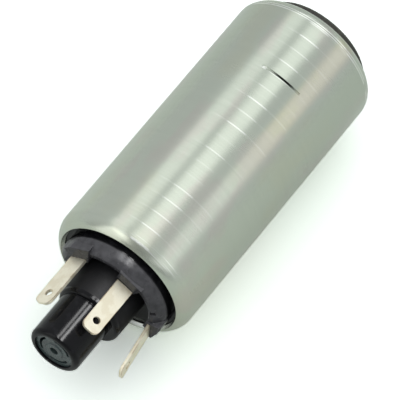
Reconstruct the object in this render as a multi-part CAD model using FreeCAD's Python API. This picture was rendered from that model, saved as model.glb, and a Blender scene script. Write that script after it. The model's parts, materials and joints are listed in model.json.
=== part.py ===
import FreeCAD, Part
import math
import os

"""Electric fuel pump: a motor and a rotor pump in one rolled steel case.

Every shape is built about one axis. Its height runs towards the outlet and is
zero at the case's front lip. Clock angles run from the top of the lying pump
towards the side that carries the bare end of the third blade. One placement at
the end lays the pump down along X, with its case on the floor.
"""

Vector = FreeCAD.Vector
AXIS = Vector(0, 0, 1)

# Clearances
SLIP = 0.2
SNUG = 0.05
RUNNING = 0.03
ROLL_GAP = 0.2
ROOT = 0.5

# Case, a drawn tube whose two ends are rolled in
CASE_RADIUS = 19.5
CASE_WALL = 1.2
CASE_BORE = CASE_RADIUS - CASE_WALL
FRONT_ROLL = 4.8
FRONT_TURN = 62.0
REAR_ROLL = 3.6
REAR_TURN = 72.0
CASE_LENGTH = 82.1
REAR_LIP = -CASE_LENGTH
FRONT_ROLL_START = -FRONT_ROLL * math.sin(math.radians(FRONT_TURN))
REAR_ROLL_START = REAR_LIP + REAR_ROLL * math.sin(math.radians(REAR_TURN))
FRONT_CENTRE = (CASE_RADIUS - FRONT_ROLL, FRONT_ROLL_START)
REAR_CENTRE = (CASE_RADIUS - REAR_ROLL, REAR_ROLL_START)

# Stack inside the case, from the rear lip forwards
COVER_STAND = 2.8
COVER_DEPTH = 10.1
RING_DEPTH = 7.0
PLATE_DEPTH = 6.0
COVER_REAR = REAR_LIP - COVER_STAND
RING_REAR = REAR_LIP + COVER_DEPTH
PLATE_REAR = RING_REAR + RING_DEPTH
PLATE_FRONT = PLATE_REAR + PLATE_DEPTH
CAP_REAR = -14.0

# Short grooves pressed round the case to lock the outlet plate
STAKE_BACK = 1.8
STAKE_HEIGHT = PLATE_FRONT - STAKE_BACK
STAKE_TOOL = 0.3
STAKE_DEPTH = 0.3
STAKE_SPAN = 34.0
STAKE_CLOCK = 18.8
STAKE_COUNT = 3

# Outlet cap
CAP_RADIUS = CASE_BORE - SLIP
CAP_ROLL = FRONT_ROLL - CASE_WALL - ROLL_GAP
CAP_ROLL_TURN = 60.0
DECK = FRONT_ROLL_START + CAP_ROLL * math.sin(math.radians(CAP_ROLL_TURN))
DECK_EDGE = FRONT_CENTRE[0] + CAP_ROLL * math.cos(math.radians(CAP_ROLL_TURN))
RING_LEDGE = 1.1
RING_WIDTH = 3.65
CREST_WIDTH = 1.45
RING_OUTER = DECK_EDGE - RING_LEDGE
RING_INNER = RING_OUTER - RING_WIDTH
RING_CREST = RING_INNER + CREST_WIDTH
RING_SHOULDER = 1.8
RING_TOP = 4.3
RING_CHAMFER = 0.4
RING_BULGE = 0.25
RING_FROM = -76.0
RING_TO = 112.0
END_BLOCK_STEP = 0.3
END_BLOCK_RADIUS = RING_OUTER + END_BLOCK_STEP
END_BLOCK_FROM = 100.0
END_BLOCK_TO = 120.0
POCKET_SIDE = 1.3
POCKET_DEPTH = 1.6
POCKET_CLOCK = 84.0
BOSS_INSET = 6.6
BOSS_RADIUS = RING_OUTER - BOSS_INSET
BOSS_TOP = 12.8
BOSS_ROUND = 1.0
NOZZLE_RADIUS = 7.0
NOZZLE_LENGTH = 13.0
NOZZLE_TIP = BOSS_TOP + NOZZLE_LENGTH
NOZZLE_ROUND = 1.2
NOZZLE_OFFSET = 0.8
NOZZLE_CLOCK = -68.7
SEAL_WIRE = 0.9
SEAL_AHEAD = 4.7
SEAL_PLAY = 0.6
SEAL_HEIGHT = CAP_REAR + SEAL_AHEAD
SEAL_GROOVE = 2 * SEAL_WIRE + SEAL_PLAY
SEAL_FLOOR = CASE_BORE - 2 * (SEAL_WIRE + SNUG)

# Blade terminals. Each face's inset is measured from the ring's outside, and its facing
# is the clock angle that it looks towards
BLADE_WIDTH = 4.8
BLADE_THICKNESS = 0.8
BLADE_ROUNDING = 1.6
BLADE_HOLE = 0.95
BLADE_HOLE_DEPTH = 3.3
BLADE_SUNK = 5.0
BLADE_TAIL = CAP_REAR + BLADE_SUNK
SOCKET_TOP = 4.8
SOCKET_BACK = 0.4
SOCKET_REACH = 3.4
SOCKET_SIDE = 0.3
SOCKET_FLARE = 0.8
LEFT_FLARE = 2.6
LEFT_INSET = 3.5
LEFT_CLOCK = -43.7
LEFT_FACING = -26.7
LEFT_TIP = 20.1
MIDDLE_INSET = 5.43
MIDDLE_CLOCK = 34.8
MIDDLE_FACING = 28.3
MIDDLE_TIP = 19.9
RIGHT_INSET = 1.65
RIGHT_CLOCK = 113.5
RIGHT_FACING = 93.6
RIGHT_TIP = 19.0
RIGHT_LEAN = 7.1
BLADES = {
    "terminal_left": {"inset": LEFT_INSET, "clock": LEFT_CLOCK, "facing": LEFT_FACING,
                      "tip": LEFT_TIP, "lean": 0.0, "flare": LEFT_FLARE},
    "terminal_middle": {"inset": MIDDLE_INSET, "clock": MIDDLE_CLOCK, "facing": MIDDLE_FACING,
                        "tip": MIDDLE_TIP, "lean": 0.0, "flare": SOCKET_FLARE},
    "terminal_right": {"inset": RIGHT_INSET, "clock": RIGHT_CLOCK, "facing": RIGHT_FACING,
                       "tip": RIGHT_TIP, "lean": RIGHT_LEAN, "flare": SOCKET_FLARE},
}

# Check valve in the outlet nozzle
NOZZLE_WALL = 1.6
OUTLET_BORE = NOZZLE_RADIUS - NOZZLE_WALL
SEAT_ABOVE_BOSS = 1.2
OUTLET_SEAT = BOSS_TOP + SEAT_ABOVE_BOSS
VALVE_PLAY = 1.0
VALVE_RADIUS = OUTLET_BORE - VALVE_PLAY
VALVE_LAND = 1.4
PASSAGE_RADIUS = VALVE_RADIUS - VALVE_LAND
PASSAGE_FLOOR = -3.0
SIDE_PASSAGE_RADIUS = 1.9
SIDE_PASSAGE_AT = 6.25
SIDE_PASSAGE_TOP = 1.0
GUIDE_DEPTH = 0.6
GUIDE_TOP = NOZZLE_TIP - GUIDE_DEPTH
GUIDE_THICKNESS = 1.6
GUIDE_RIM = 1.0
GUIDE_WINDOW = 0.7
GUIDE_WINDOW_SPAN = 82.0
GUIDE_RAISE = 0.25
STEM_RADIUS = 1.1
STEM_SHORT = 1.2
HUB_WALL = 1.2
NOSE_TIP = 1.2
NOSE_LENGTH = 1.6
NOSE_GAP = 0.5
SEAL_LAP = 0.4
VALVE_SEAL_THICKNESS = 0.75
VALVE_DISC_THICKNESS = 1.2

# Relief valve beside the boss
RELIEF_INSET = 3.8
RELIEF_AT = DECK_EDGE - RELIEF_INSET
RELIEF_CLOCK = 180.0
RELIEF_SEAT = -10.0
BALL_RADIUS = 1.7
BALL_LAND = 0.6
RELIEF_BORE = BALL_RADIUS + SLIP
RELIEF_HOLE = BALL_RADIUS - BALL_LAND
RELIEF_PLUG_SINK = 0.3
RELIEF_PLUG_TOP = DECK - RELIEF_PLUG_SINK
RELIEF_PLUG_THICKNESS = 1.5
RELIEF_PLUG_HOLE = 0.8

# Motor, from the case inwards
SLEEVE_WALL = 1.6
MAGNET_GAP = 0.1
MAGNET_THICKNESS = 3.7
MAGNET_SPAN = 120.0
MAGNET_FROM_CAP = 8.0
MAGNET_FROM_PLATE = 4.5
AIR_GAP = 0.5
CORE_INSET = 4.5
SLEEVE_OUTER = CASE_BORE - SLIP
SLEEVE_INNER = SLEEVE_OUTER - SLEEVE_WALL
MAGNET_OUTER = SLEEVE_INNER - MAGNET_GAP
MAGNET_INNER = MAGNET_OUTER - MAGNET_THICKNESS
MAGNET_FRONT = CAP_REAR - MAGNET_FROM_CAP
MAGNET_REAR = PLATE_FRONT + MAGNET_FROM_PLATE
CLIP_INSET = 1.1
CLIP_THICKNESS = 0.7
CLIP_SHORT = 2.0
CLIP_SIDE = 0.5
CORE_RADIUS = MAGNET_INNER - AIR_GAP
CORE_FRONT = MAGNET_FRONT - CORE_INSET
CORE_REAR = MAGNET_REAR + CORE_INSET
CORE_SLOTS = 8
SLOT_INSET = 3.9
SLOT_SHARE = 0.82
SLOT_AT = CORE_RADIUS - SLOT_INSET
SLOT_RADIUS = SLOT_SHARE * SLOT_AT * math.sin(math.pi / CORE_SLOTS)
SLOT_MOUTH = 1.4
WINDING_INSET = 0.8
WINDING_RADIUS = CORE_RADIUS - WINDING_INSET
WINDING_REACH = 5.2
WINDING_ROUND = 1.6
SHAFT_RADIUS = 2.0
SHAFT_BEVEL = 0.4
SHAFT_FLAT = 0.5
INSULATION = 0.9
BUSH_WALL = 1.7
BUSH_RADIUS = SHAFT_RADIUS + BUSH_WALL
FRONT_BUSH_TOP = -9.5
SHAFT_FRONT = FRONT_BUSH_TOP - SLIP
SHAFT_REAR = RING_REAR + SNUG
COMMUTATOR_GAP = 1.0
COMMUTATOR_INSET = 1.6
COMMUTATOR_FACE = CAP_REAR - COMMUTATOR_GAP
COMMUTATOR_RADIUS = CORE_RADIUS - COMMUTATOR_INSET
SEGMENT_THICKNESS = 2.2
SEGMENT_WALL = 1.5
SAW_WIDTH = 0.5
SAW_DEPTH = 1.2
HUB_RADIUS = 5.5
HUB_FLANGE = 1.4
HUB_LIP = 0.3
WASHER_RIM = 0.8
WASHER_THICKNESS = 0.6

# Brushes and chokes, in wells of the cap
WELL_WALL = 0.5
BRUSH_INSET = 0.3
BRUSH_RADIAL = COMMUTATOR_RADIUS - BRUSH_INSET - BUSH_RADIUS - WELL_WALL - 2 * SNUG
BRUSH_AT = COMMUTATOR_RADIUS - BRUSH_INSET - BRUSH_RADIAL / 2
BRUSH_CLOCKS = {"a": 85.0, "b": -95.0}
BRUSH_WIDE = 5.0
BRUSH_LONG = 7.0
BRUSH_BEVEL = 0.4
WELL_ROOF = 0.7
WELL_TOP = DECK - WELL_ROOF
CHOKE_RADIUS = 2.3
CHOKE_COLLAR = 0.8
CHOKE_WAIST = 0.35
CHOKE_FIT = 0.1
CHOKE_ROOF = 1.9
CHOKE_TOP = DECK - CHOKE_ROOF
CHOKE_A_INSET = 3.5
CHOKE_B_INSET = 3.0
CHOKES = {"a": (DECK_EDGE - CHOKE_A_INSET, -5.0), "b": (DECK_EDGE - CHOKE_B_INSET, 66.0)}

# Rotor pump: an inner rotor with one lobe fewer than the ring around it. Its shape
# runs from zero, round, to one, where the lobes come to a cusp
LOBES = 6
LOBE_SHAPE = 0.75
TOOTH_SHARE = 0.32
RING_WALL = 2.9
ROTOR_BACK = 2.8
LOBE_CLEARANCE = 0.06
ROTOR_SIDE_GAP = 0.03
PUMP_CLOCK = 90.0
PIN_CIRCLE = (SLEEVE_OUTER - RING_WALL - ROTOR_BACK) / (1 + LOBE_SHAPE / (LOBES + 1))
PIN_RADIUS = TOOTH_SHARE * PIN_CIRCLE
ECCENTRICITY = LOBE_SHAPE * PIN_CIRCLE / (LOBES + 1)
OUTER_ROTOR_RADIUS = PIN_CIRCLE + ROTOR_BACK
PORT_LAND = 0.15
KIDNEY_INNER = PIN_CIRCLE - PIN_RADIUS - ECCENTRICITY + PORT_LAND
KIDNEY_OUTER = PIN_CIRCLE - PIN_RADIUS + 2 * ECCENTRICITY - PORT_LAND
KIDNEY_SPAN = 100.0
DOWEL_RADIUS = 0.9
DOWEL_REACH = 2.9
DOWEL_AT = (OUTER_ROTOR_RADIUS + SLEEVE_OUTER) / 2

# Inlet cover
COVER_ROLL = REAR_ROLL - CASE_WALL - ROLL_GAP
COVER_TURN = 68.0
COVER_STEP = 1.2
COVER_CHAMFER = 0.8
COVER_BOSS_RADIUS = (REAR_CENTRE[0] - COVER_STEP
                     + (REAR_ROLL - CASE_WALL) * math.cos(math.radians(REAR_TURN)))
INLET_RADIUS = 5.5
INLET_WALL = 2.94
INLET_AT = COVER_BOSS_RADIUS - INLET_RADIUS - INLET_WALL
INLET_DEPTH = 8.9
INLET_OVERLAP = 0.1
COVER_POCKET_WALL = 3.0
COVER_POCKET_WIDTH = 6.0
COVER_POCKET_DEPTH = 2.5
COVER_POCKET_SPAN = 40.0
BUTTON_RADIUS = 2.5
BUTTON_THICKNESS = 2.0

# Helical springs
CHECK_SPRING_RADIUS = 2.6
CHECK_SPRING_WIRE = 0.3
RELIEF_SPRING_RADIUS = 1.3
RELIEF_SPRING_WIRE = 0.2
BRUSH_SPRING_RADIUS = 1.9
BRUSH_SPRING_WIRE = 0.28
VALVE_SPRING_TURNS = 5
RELIEF_SPRING_TURNS = 4
BRUSH_SPRING_TURNS = 5
HELIX_STEPS = 4

OVERALL_LENGTH = NOZZLE_TIP - COVER_REAR
LAY_DOWN = FreeCAD.Placement(
    Vector(OVERALL_LENGTH / 2 - NOZZLE_TIP, 0, CASE_RADIUS),
    FreeCAD.Rotation(Vector(1, 1, 1), 120),
)


def polar(radius, clock, height=0.0):
    """Point at a radius and clock angle."""
    angle = math.radians(clock)
    return Vector(radius * math.sin(angle), radius * math.cos(angle), height)


def cylinder(radius, low, high, centre=Vector(0, 0, 0)):
    """Cylinder along the axis between two heights."""
    return Part.makeCylinder(radius, high - low, Vector(centre.x, centre.y, low))


def tube(outer, inner, low, high, centre=Vector(0, 0, 0)):
    """Tube along the axis between two heights."""
    return cylinder(outer, low, high, centre).cut(cylinder(inner, low - 1, high + 1, centre))


def section(start, steps):
    """Closed face in the radius and height plane. A step of four numbers is an arc."""
    edges = []
    here = Vector(start[0], 0, start[1])
    for step in steps + [start]:
        there = Vector(step[-2], 0, step[-1])
        if len(step) == 4:
            middle = Vector(step[0], 0, step[1])
            edges.append(Part.Arc(here, middle, there).toShape())
        else:
            edges.append(Part.makeLine(here, there))
        here = there
    return Part.Face(Part.Wire(edges))


def turned(start, steps, centre=Vector(0, 0, 0)):
    """Solid turned about the axis, or about a line parallel to it."""
    solid = section(start, steps).revolve(Vector(0, 0, 0), AXIS, 360)
    solid.translate(Vector(centre.x, centre.y, 0))
    return solid


def swept(start, steps, clock_from, clock_to):
    """Part of a turned solid, between two clock angles."""
    face = section(start, steps)
    face.rotate(Vector(0, 0, 0), AXIS, 90 - clock_to)
    return face.revolve(Vector(0, 0, 0), AXIS, clock_to - clock_from)


def roll_point(centre, radius, turn, toward):
    """Point of a rolled end, after a turn from the straight wall."""
    angle = math.radians(turn)
    return centre[0] + radius * math.cos(angle), centre[1] + toward * radius * math.sin(angle)


def block(centre, clock, radial, wide, low, high):
    """Box whose first side points along a clock angle."""
    box = Part.makeBox(wide, radial, high - low, Vector(-wide / 2, -radial / 2, low))
    box.rotate(Vector(0, 0, 0), AXIS, -clock)
    box.translate(Vector(centre.x, centre.y, 0))
    return box


def prism(points, low, high):
    """Upright prism over flat points."""
    corners = [Vector(p.x, p.y, low) for p in points]
    face = Part.Face(Part.makePolygon(corners + corners[:1]))
    return face.extrude(Vector(0, 0, high - low))


def kidney(clock, low, high):
    """Curved slot about the axis with round ends."""
    middle = (KIDNEY_INNER + KIDNEY_OUTER) / 2
    end = (KIDNEY_OUTER - KIDNEY_INNER) / 2
    first = clock - KIDNEY_SPAN / 2
    last = clock + KIDNEY_SPAN / 2
    corners = [(KIDNEY_OUTER, low), (KIDNEY_OUTER, high), (KIDNEY_INNER, high)]
    slot = swept((KIDNEY_INNER, low), corners, first, last)
    for turn in (first, last):
        slot = slot.fuse(cylinder(end, low, high, polar(middle, turn)))
    return slot.removeSplitter()


def arc_from_tangent(start, corner, end):
    """Arc between two points whose tangents meet at a corner."""
    middle = (start + end) * 0.5
    half = (end - start).Length / 2
    bend = math.acos(min(1.0, half / (corner - start).Length))
    lift = math.tan(bend / 2) / math.tan(bend)
    return Part.Arc(start, middle + (corner - middle) * lift, end).toShape()


def biarc(start, along, end, onward):
    """Two arcs that join two points with given tangents."""
    chord = end - start
    both = along + onward
    a = 2 * (1 - along.dot(onward))
    b = 2 * chord.dot(both)
    reach = (-b + math.sqrt(b * b + 4 * a * chord.dot(chord))) / (2 * a)
    first = start + along * reach
    last = end - onward * reach
    joint = (first + last) * 0.5
    return [arc_from_tangent(start, first, joint), arc_from_tangent(joint, last, end)]


def helix_point(radius, pitch, turn, low):
    """Point and unit tangent of a helix after some turns."""
    angle = 2 * math.pi * turn
    point = Vector(radius * math.cos(angle), radius * math.sin(angle), low + pitch * turn)
    tangent = Vector(-math.sin(angle), math.cos(angle), pitch / (2 * math.pi * radius))
    return point, tangent.normalize()


def spring(name, form, low, high, centre):
    """Coil spring between two heights, as one unbroken tube."""
    radius, wire, turns = form
    bottom = low + wire
    pitch = (high - low - 2 * wire) / turns
    edges = []
    for step in range(turns * HELIX_STEPS):
        start = helix_point(radius, pitch, step / HELIX_STEPS, bottom)
        end = helix_point(radius, pitch, (step + 1) / HELIX_STEPS, bottom)
        edges += biarc(*start, *end)
    point, tangent = helix_point(radius, pitch, 0, bottom)
    ring = Part.Wire(Part.makeCircle(wire, point, tangent))
    coil = Part.Wire(edges).makePipeShell([ring], True, False)
    coil.translate(Vector(centre.x, centre.y, 0))
    rise = pitch * math.cos(math.atan(pitch / (2 * math.pi * radius)))
    print(name, "least gap between turns", round(rise - 2 * wire, 2), "mm")
    return coil


def case_shell():
    """Steel tube with rolled ends and staked grooves."""
    front_inner = FRONT_ROLL - CASE_WALL
    rear_inner = REAR_ROLL - CASE_WALL
    half_front = FRONT_TURN / 2
    half_rear = REAR_TURN / 2
    steps = [
        roll_point(FRONT_CENTRE, FRONT_ROLL, half_front, 1)
        + roll_point(FRONT_CENTRE, FRONT_ROLL, FRONT_TURN, 1),
        roll_point(FRONT_CENTRE, front_inner, FRONT_TURN, 1),
        roll_point(FRONT_CENTRE, front_inner, half_front, 1) + (CASE_BORE, FRONT_ROLL_START),
        (CASE_BORE, REAR_ROLL_START),
        roll_point(REAR_CENTRE, rear_inner, half_rear, -1)
        + roll_point(REAR_CENTRE, rear_inner, REAR_TURN, -1),
        roll_point(REAR_CENTRE, REAR_ROLL, REAR_TURN, -1),
        roll_point(REAR_CENTRE, REAR_ROLL, half_rear, -1) + (CASE_RADIUS, REAR_ROLL_START),
    ]
    shell = turned((CASE_RADIUS, FRONT_ROLL_START), steps)
    for index in range(STAKE_COUNT):
        shell = shell.cut(stake(STAKE_CLOCK + index * 360 / STAKE_COUNT))
    return shell


def stake(clock):
    """Cutter for one short groove that is pressed round the case."""
    centre = Vector(CASE_RADIUS + STAKE_TOOL - STAKE_DEPTH, 0, STAKE_HEIGHT)
    face = Part.Face(Part.Wire(Part.makeCircle(STAKE_TOOL, centre, Vector(0, 1, 0))))
    face.rotate(Vector(0, 0, 0), AXIS, 90 - clock - STAKE_SPAN / 2)
    groove = face.revolve(Vector(0, 0, 0), AXIS, STAKE_SPAN)
    return groove


def cap_body():
    """Flange of the outlet cap, with the groove of its seal."""
    half = CAP_ROLL_TURN / 2
    low = SEAL_HEIGHT - SEAL_GROOVE / 2
    high = SEAL_HEIGHT + SEAL_GROOVE / 2
    steps = [
        (CAP_RADIUS, CAP_REAR),
        (CAP_RADIUS, low),
        (SEAL_FLOOR, low),
        (SEAL_FLOOR, high),
        (FRONT_CENTRE[0] + CAP_ROLL, high),
        (FRONT_CENTRE[0] + CAP_ROLL, FRONT_ROLL_START),
        roll_point(FRONT_CENTRE, CAP_ROLL, half, 1)
        + roll_point(FRONT_CENTRE, CAP_ROLL, CAP_ROLL_TURN, 1),
        (0, DECK),
    ]
    return turned((0, CAP_REAR), steps)


def cap_ring():
    """Raised ring, open on the lower side, with a square block at one end."""
    low = DECK - ROOT
    run = RING_OUTER - RING_CREST
    drop = RING_TOP - RING_SHOULDER
    proud = RING_BULGE / math.hypot(run, drop)
    steps = [
        (RING_INNER, RING_TOP - RING_CHAMFER),
        (RING_INNER + RING_CHAMFER, RING_TOP),
        (RING_CREST, RING_TOP),
        (RING_CREST + run / 2 + proud * drop, RING_TOP - drop / 2 + proud * run,
         RING_OUTER, RING_SHOULDER),
        (RING_OUTER, low),
    ]
    ring = swept((RING_INNER, low), steps, RING_FROM, RING_TO)
    steps = [
        (RING_INNER, RING_TOP),
        (END_BLOCK_RADIUS - RING_CHAMFER, RING_TOP),
        (END_BLOCK_RADIUS, RING_TOP - RING_CHAMFER),
        (END_BLOCK_RADIUS, low),
    ]
    return ring.fuse(swept((RING_INNER, low), steps, END_BLOCK_FROM, END_BLOCK_TO))


def nozzle_centre():
    """Axis of the nozzle, a little beside the pump's own axis."""
    return polar(NOZZLE_OFFSET, NOZZLE_CLOCK)


def cap_outlet():
    """Boss and nozzle."""
    low = DECK - ROOT
    bend = BOSS_ROUND * (1 - math.sqrt(0.5))
    steps = [
        (BOSS_RADIUS, low),
        (BOSS_RADIUS, BOSS_TOP - BOSS_ROUND),
        (BOSS_RADIUS - bend, BOSS_TOP - bend, BOSS_RADIUS - BOSS_ROUND, BOSS_TOP),
        (0, BOSS_TOP),
    ]
    boss = turned((0, low), steps)
    bend = NOZZLE_ROUND * (1 - math.sqrt(0.5))
    steps = [
        (NOZZLE_RADIUS, BOSS_TOP - ROOT),
        (NOZZLE_RADIUS, NOZZLE_TIP - NOZZLE_ROUND),
        (NOZZLE_RADIUS - bend, NOZZLE_TIP - bend, NOZZLE_RADIUS - NOZZLE_ROUND, NOZZLE_TIP),
        (0, NOZZLE_TIP),
    ]
    return boss.fuse(turned((0, BOSS_TOP - ROOT), steps, nozzle_centre()))


def blade_frame(name):
    """Centre of a blade's outer face, its normal and its width direction."""
    own = BLADES[name]
    centre = polar(RING_OUTER - own["inset"], own["clock"])
    return centre, polar(1, own["facing"]), polar(1, own["facing"] + 90)


def socket(name):
    """Block that carries one blade, wider where it joins the ring."""
    centre, normal, along = blade_frame(name)
    near = BLADE_WIDTH / 2 + SOCKET_SIDE
    far = near + SOCKET_FLARE
    wide = near + BLADES[name]["flare"]
    inward = normal * -(BLADE_THICKNESS + SOCKET_BACK)
    outward = normal * SOCKET_REACH
    points = [centre + inward - along * near, centre + inward + along * near,
              centre + outward + along * wide, centre + outward - along * far]
    bound = cylinder(RING_OUTER, DECK - 1, SOCKET_TOP + 1)
    return prism(points, DECK - ROOT, SOCKET_TOP).common(bound)


def blade_slot(name):
    """Cutter for the slot that a blade stands in."""
    centre, normal, _ = blade_frame(name)
    facing = BLADES[name]["facing"]
    middle = centre - normal * (BLADE_THICKNESS / 2)
    return block(middle, facing, BLADE_THICKNESS + 2 * SNUG, BLADE_WIDTH + 2 * SNUG,
                 BLADE_TAIL - SNUG, SOCKET_TOP + 1)


def well(clock):
    """Cutter for a brush well, open to the commutator."""
    return block(polar(BRUSH_AT, clock), clock, BRUSH_RADIAL + 2 * SNUG, BRUSH_WIDE + 2 * SNUG,
                 CAP_REAR - 1, WELL_TOP)


def passages():
    """Cutters for the fuel's way through the cap."""
    centre = nozzle_centre()
    bore = cylinder(OUTLET_BORE, OUTLET_SEAT, NOZZLE_TIP + 1, centre)
    inner = cylinder(PASSAGE_RADIUS, PASSAGE_FLOOR, OUTLET_SEAT + 1, centre)
    across = block(polar(SIDE_PASSAGE_AT / 2, RELIEF_CLOCK), RELIEF_CLOCK, SIDE_PASSAGE_AT,
                   2 * (SIDE_PASSAGE_RADIUS - SLIP), PASSAGE_FLOOR, SIDE_PASSAGE_TOP)
    foot = polar(SIDE_PASSAGE_AT, RELIEF_CLOCK)
    side = cylinder(SIDE_PASSAGE_RADIUS, CAP_REAR - 1, SIDE_PASSAGE_TOP, foot)
    return [bore, inner, across, side]


def relief_bores():
    """Cutters for the relief valve's bore and its smaller hole."""
    centre = polar(RELIEF_AT, RELIEF_CLOCK)
    return [cylinder(RELIEF_BORE, RELIEF_SEAT, DECK + 1, centre),
            cylinder(RELIEF_HOLE, CAP_REAR - 1, RELIEF_SEAT + 1, centre)]


def outlet_cap():
    """Moulded cap with ring, sockets, boss and nozzle."""
    cap = cap_body().fuse([cap_ring(), cap_outlet()] + [socket(name) for name in BLADES])
    cutters = passages() + relief_bores()
    cutters += [blade_slot(name) for name in BLADES]
    cutters += [well(clock) for clock in BRUSH_CLOCKS.values()]
    cutters += [cylinder(CHOKE_RADIUS + CHOKE_FIT, CAP_REAR - 1, CHOKE_TOP, polar(*place))
                for place in CHOKES.values()]
    cutters.append(cylinder(BUSH_RADIUS + SNUG, CAP_REAR - 1, FRONT_BUSH_TOP + SLIP))
    cutters.append(block(polar(RING_CREST, POCKET_CLOCK), POCKET_CLOCK, POCKET_SIDE, POCKET_SIDE,
                         RING_TOP - POCKET_DEPTH, RING_TOP + 1))
    return cap.cut(cutters).removeSplitter()


def blade(name):
    """Flat blade with a rounded tip, a hole and a tail inside the cap."""
    centre, normal, along = blade_frame(name)
    tip = BLADES[name]["tip"]
    drift = (tip - SOCKET_TOP) * math.tan(math.radians(BLADES[name]["lean"]))
    back = -BLADE_THICKNESS
    side = [(0, BLADE_TAIL), (0, SOCKET_TOP), (drift, tip),
            (drift + back, tip), (back, SOCKET_TOP), (back, BLADE_TAIL)]
    half = BLADE_WIDTH / 2
    corners = [centre - along * half + normal * n + Vector(0, 0, h) for n, h in side]
    strip = Part.Face(Part.makePolygon(corners + corners[:1])).extrude(along * BLADE_WIDTH)
    return strip.common(blade_outline(centre, normal, along, tip, drift))


def blade_outline(centre, normal, along, tip, drift):
    """Thick prism with the blade's face outline, hole cut out."""
    half = BLADE_WIDTH / 2
    turn = BLADE_ROUNDING
    bend = turn * (1 - math.sqrt(0.5))
    back = centre - normal * BLADE_WIDTH

    def spot(across, height):
        return back + along * across + Vector(0, 0, height)

    def corner(side):
        """Rounded corner, from the blade's side to its tip."""
        arc = (spot(side * half, tip - turn), spot(side * (half - bend), tip - bend),
               spot(side * (half - turn), tip))
        return Part.Arc(*arc).toShape()

    edges = [
        Part.makeLine(spot(-half, BLADE_TAIL), spot(-half, tip - turn)),
        corner(-1),
        Part.makeLine(spot(turn - half, tip), spot(half - turn, tip)),
        corner(1),
        Part.makeLine(spot(half, tip - turn), spot(half, BLADE_TAIL)),
        Part.makeLine(spot(half, BLADE_TAIL), spot(-half, BLADE_TAIL)),
    ]
    deep = 2 * (BLADE_WIDTH + drift)
    plate = Part.Face(Part.Wire(edges)).extrude(normal * deep)
    middle = spot(0, tip - BLADE_HOLE_DEPTH) - normal
    hole = Part.makeCylinder(BLADE_HOLE, deep + 2, middle, normal)
    return plate.cut(hole)


def cap_seal():
    """Round seal in the cap's groove."""
    ring = Part.makeTorus(CASE_BORE - SNUG - SEAL_WIRE, SEAL_WIRE)
    ring.translate(Vector(0, 0, SEAL_HEIGHT))
    return ring


def valve_guide():
    """Pressed-in disc with a guide bore, a raised hub and three windows."""
    centre = nozzle_centre()
    low = GUIDE_TOP - GUIDE_THICKNESS
    top = GUIDE_TOP + GUIDE_RAISE
    hub = STEM_RADIUS + HUB_WALL
    outside = OUTLET_BORE - GUIDE_RIM
    inside = outside - GUIDE_WINDOW
    steps = [(OUTLET_BORE - SNUG, low), (OUTLET_BORE - SNUG, GUIDE_TOP),
             (hub + GUIDE_RAISE, GUIDE_TOP), (hub, top), (STEM_RADIUS + SNUG, top)]
    guide = turned((STEM_RADIUS + SNUG, low), steps)
    window = [(outside, low - 1), (outside, GUIDE_TOP + 1), (inside, GUIDE_TOP + 1)]
    for index in range(3):
        start = index * 120.0
        guide = guide.cut(swept((inside, low - 1), window, start, start + GUIDE_WINDOW_SPAN))
    guide.translate(centre)
    return guide


def valve_poppet():
    """Disc with a guided stem and a nose that centres it in the passage."""
    low = OUTLET_SEAT + VALVE_SEAL_THICKNESS + SNUG
    top = low + VALVE_DISC_THICKNESS
    nose = OUTLET_SEAT - NOSE_LENGTH
    end = GUIDE_TOP - STEM_SHORT
    steps = [(NOSE_TIP, nose), (PASSAGE_RADIUS - NOSE_GAP, low), (VALVE_RADIUS, low),
             (VALVE_RADIUS, top), (STEM_RADIUS, top), (STEM_RADIUS, end), (0, end)]
    return turned((0, nose), steps, nozzle_centre())


def valve_seal():
    """Rubber washer under the poppet's disc."""
    low = OUTLET_SEAT + SNUG / 2
    bore = PASSAGE_RADIUS - SEAL_LAP
    return tube(VALVE_RADIUS, bore, low, low + VALVE_SEAL_THICKNESS, nozzle_centre())


def valve_spring():
    """Spring between the poppet's disc and the guide."""
    low = OUTLET_SEAT + VALVE_SEAL_THICKNESS + VALVE_DISC_THICKNESS + 2 * SNUG
    high = GUIDE_TOP - GUIDE_THICKNESS - SNUG
    form = (CHECK_SPRING_RADIUS, CHECK_SPRING_WIRE, VALVE_SPRING_TURNS)
    return spring("check_valve_spring", form, low, high, nozzle_centre())


def relief_ball():
    """Ball on the edge of the relief hole."""
    rise = math.sqrt(BALL_RADIUS ** 2 - RELIEF_HOLE ** 2) + RUNNING
    return Part.makeSphere(BALL_RADIUS, polar(RELIEF_AT, RELIEF_CLOCK, RELIEF_SEAT + rise))


def relief_spring():
    """Spring between the ball and its plug."""
    contact = math.sqrt(BALL_RADIUS ** 2 - RELIEF_SPRING_RADIUS ** 2)
    rise = math.sqrt(BALL_RADIUS ** 2 - RELIEF_HOLE ** 2) + RUNNING
    low = RELIEF_SEAT + rise + contact + SNUG
    high = RELIEF_PLUG_TOP - RELIEF_PLUG_THICKNESS - SNUG
    form = (RELIEF_SPRING_RADIUS, RELIEF_SPRING_WIRE, RELIEF_SPRING_TURNS)
    return spring("relief_valve_spring", form, low, high, polar(RELIEF_AT, RELIEF_CLOCK))


def relief_plug():
    """Holed plug over the relief spring."""
    low = RELIEF_PLUG_TOP - RELIEF_PLUG_THICKNESS
    centre = polar(RELIEF_AT, RELIEF_CLOCK)
    return tube(RELIEF_BORE - SNUG, RELIEF_PLUG_HOLE, low, RELIEF_PLUG_TOP, centre)


def brush(clock):
    """Carbon brush, chamfered at its back end."""
    low = COMMUTATOR_FACE + SNUG
    body = block(polar(BRUSH_AT, clock), clock, BRUSH_RADIAL, BRUSH_WIDE, low, low + BRUSH_LONG)
    top = [edge for edge in body.Edges
           if min(v.Z for v in edge.Vertexes) > low + BRUSH_LONG - 0.01]
    return body.makeChamfer(BRUSH_BEVEL, top)


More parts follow.
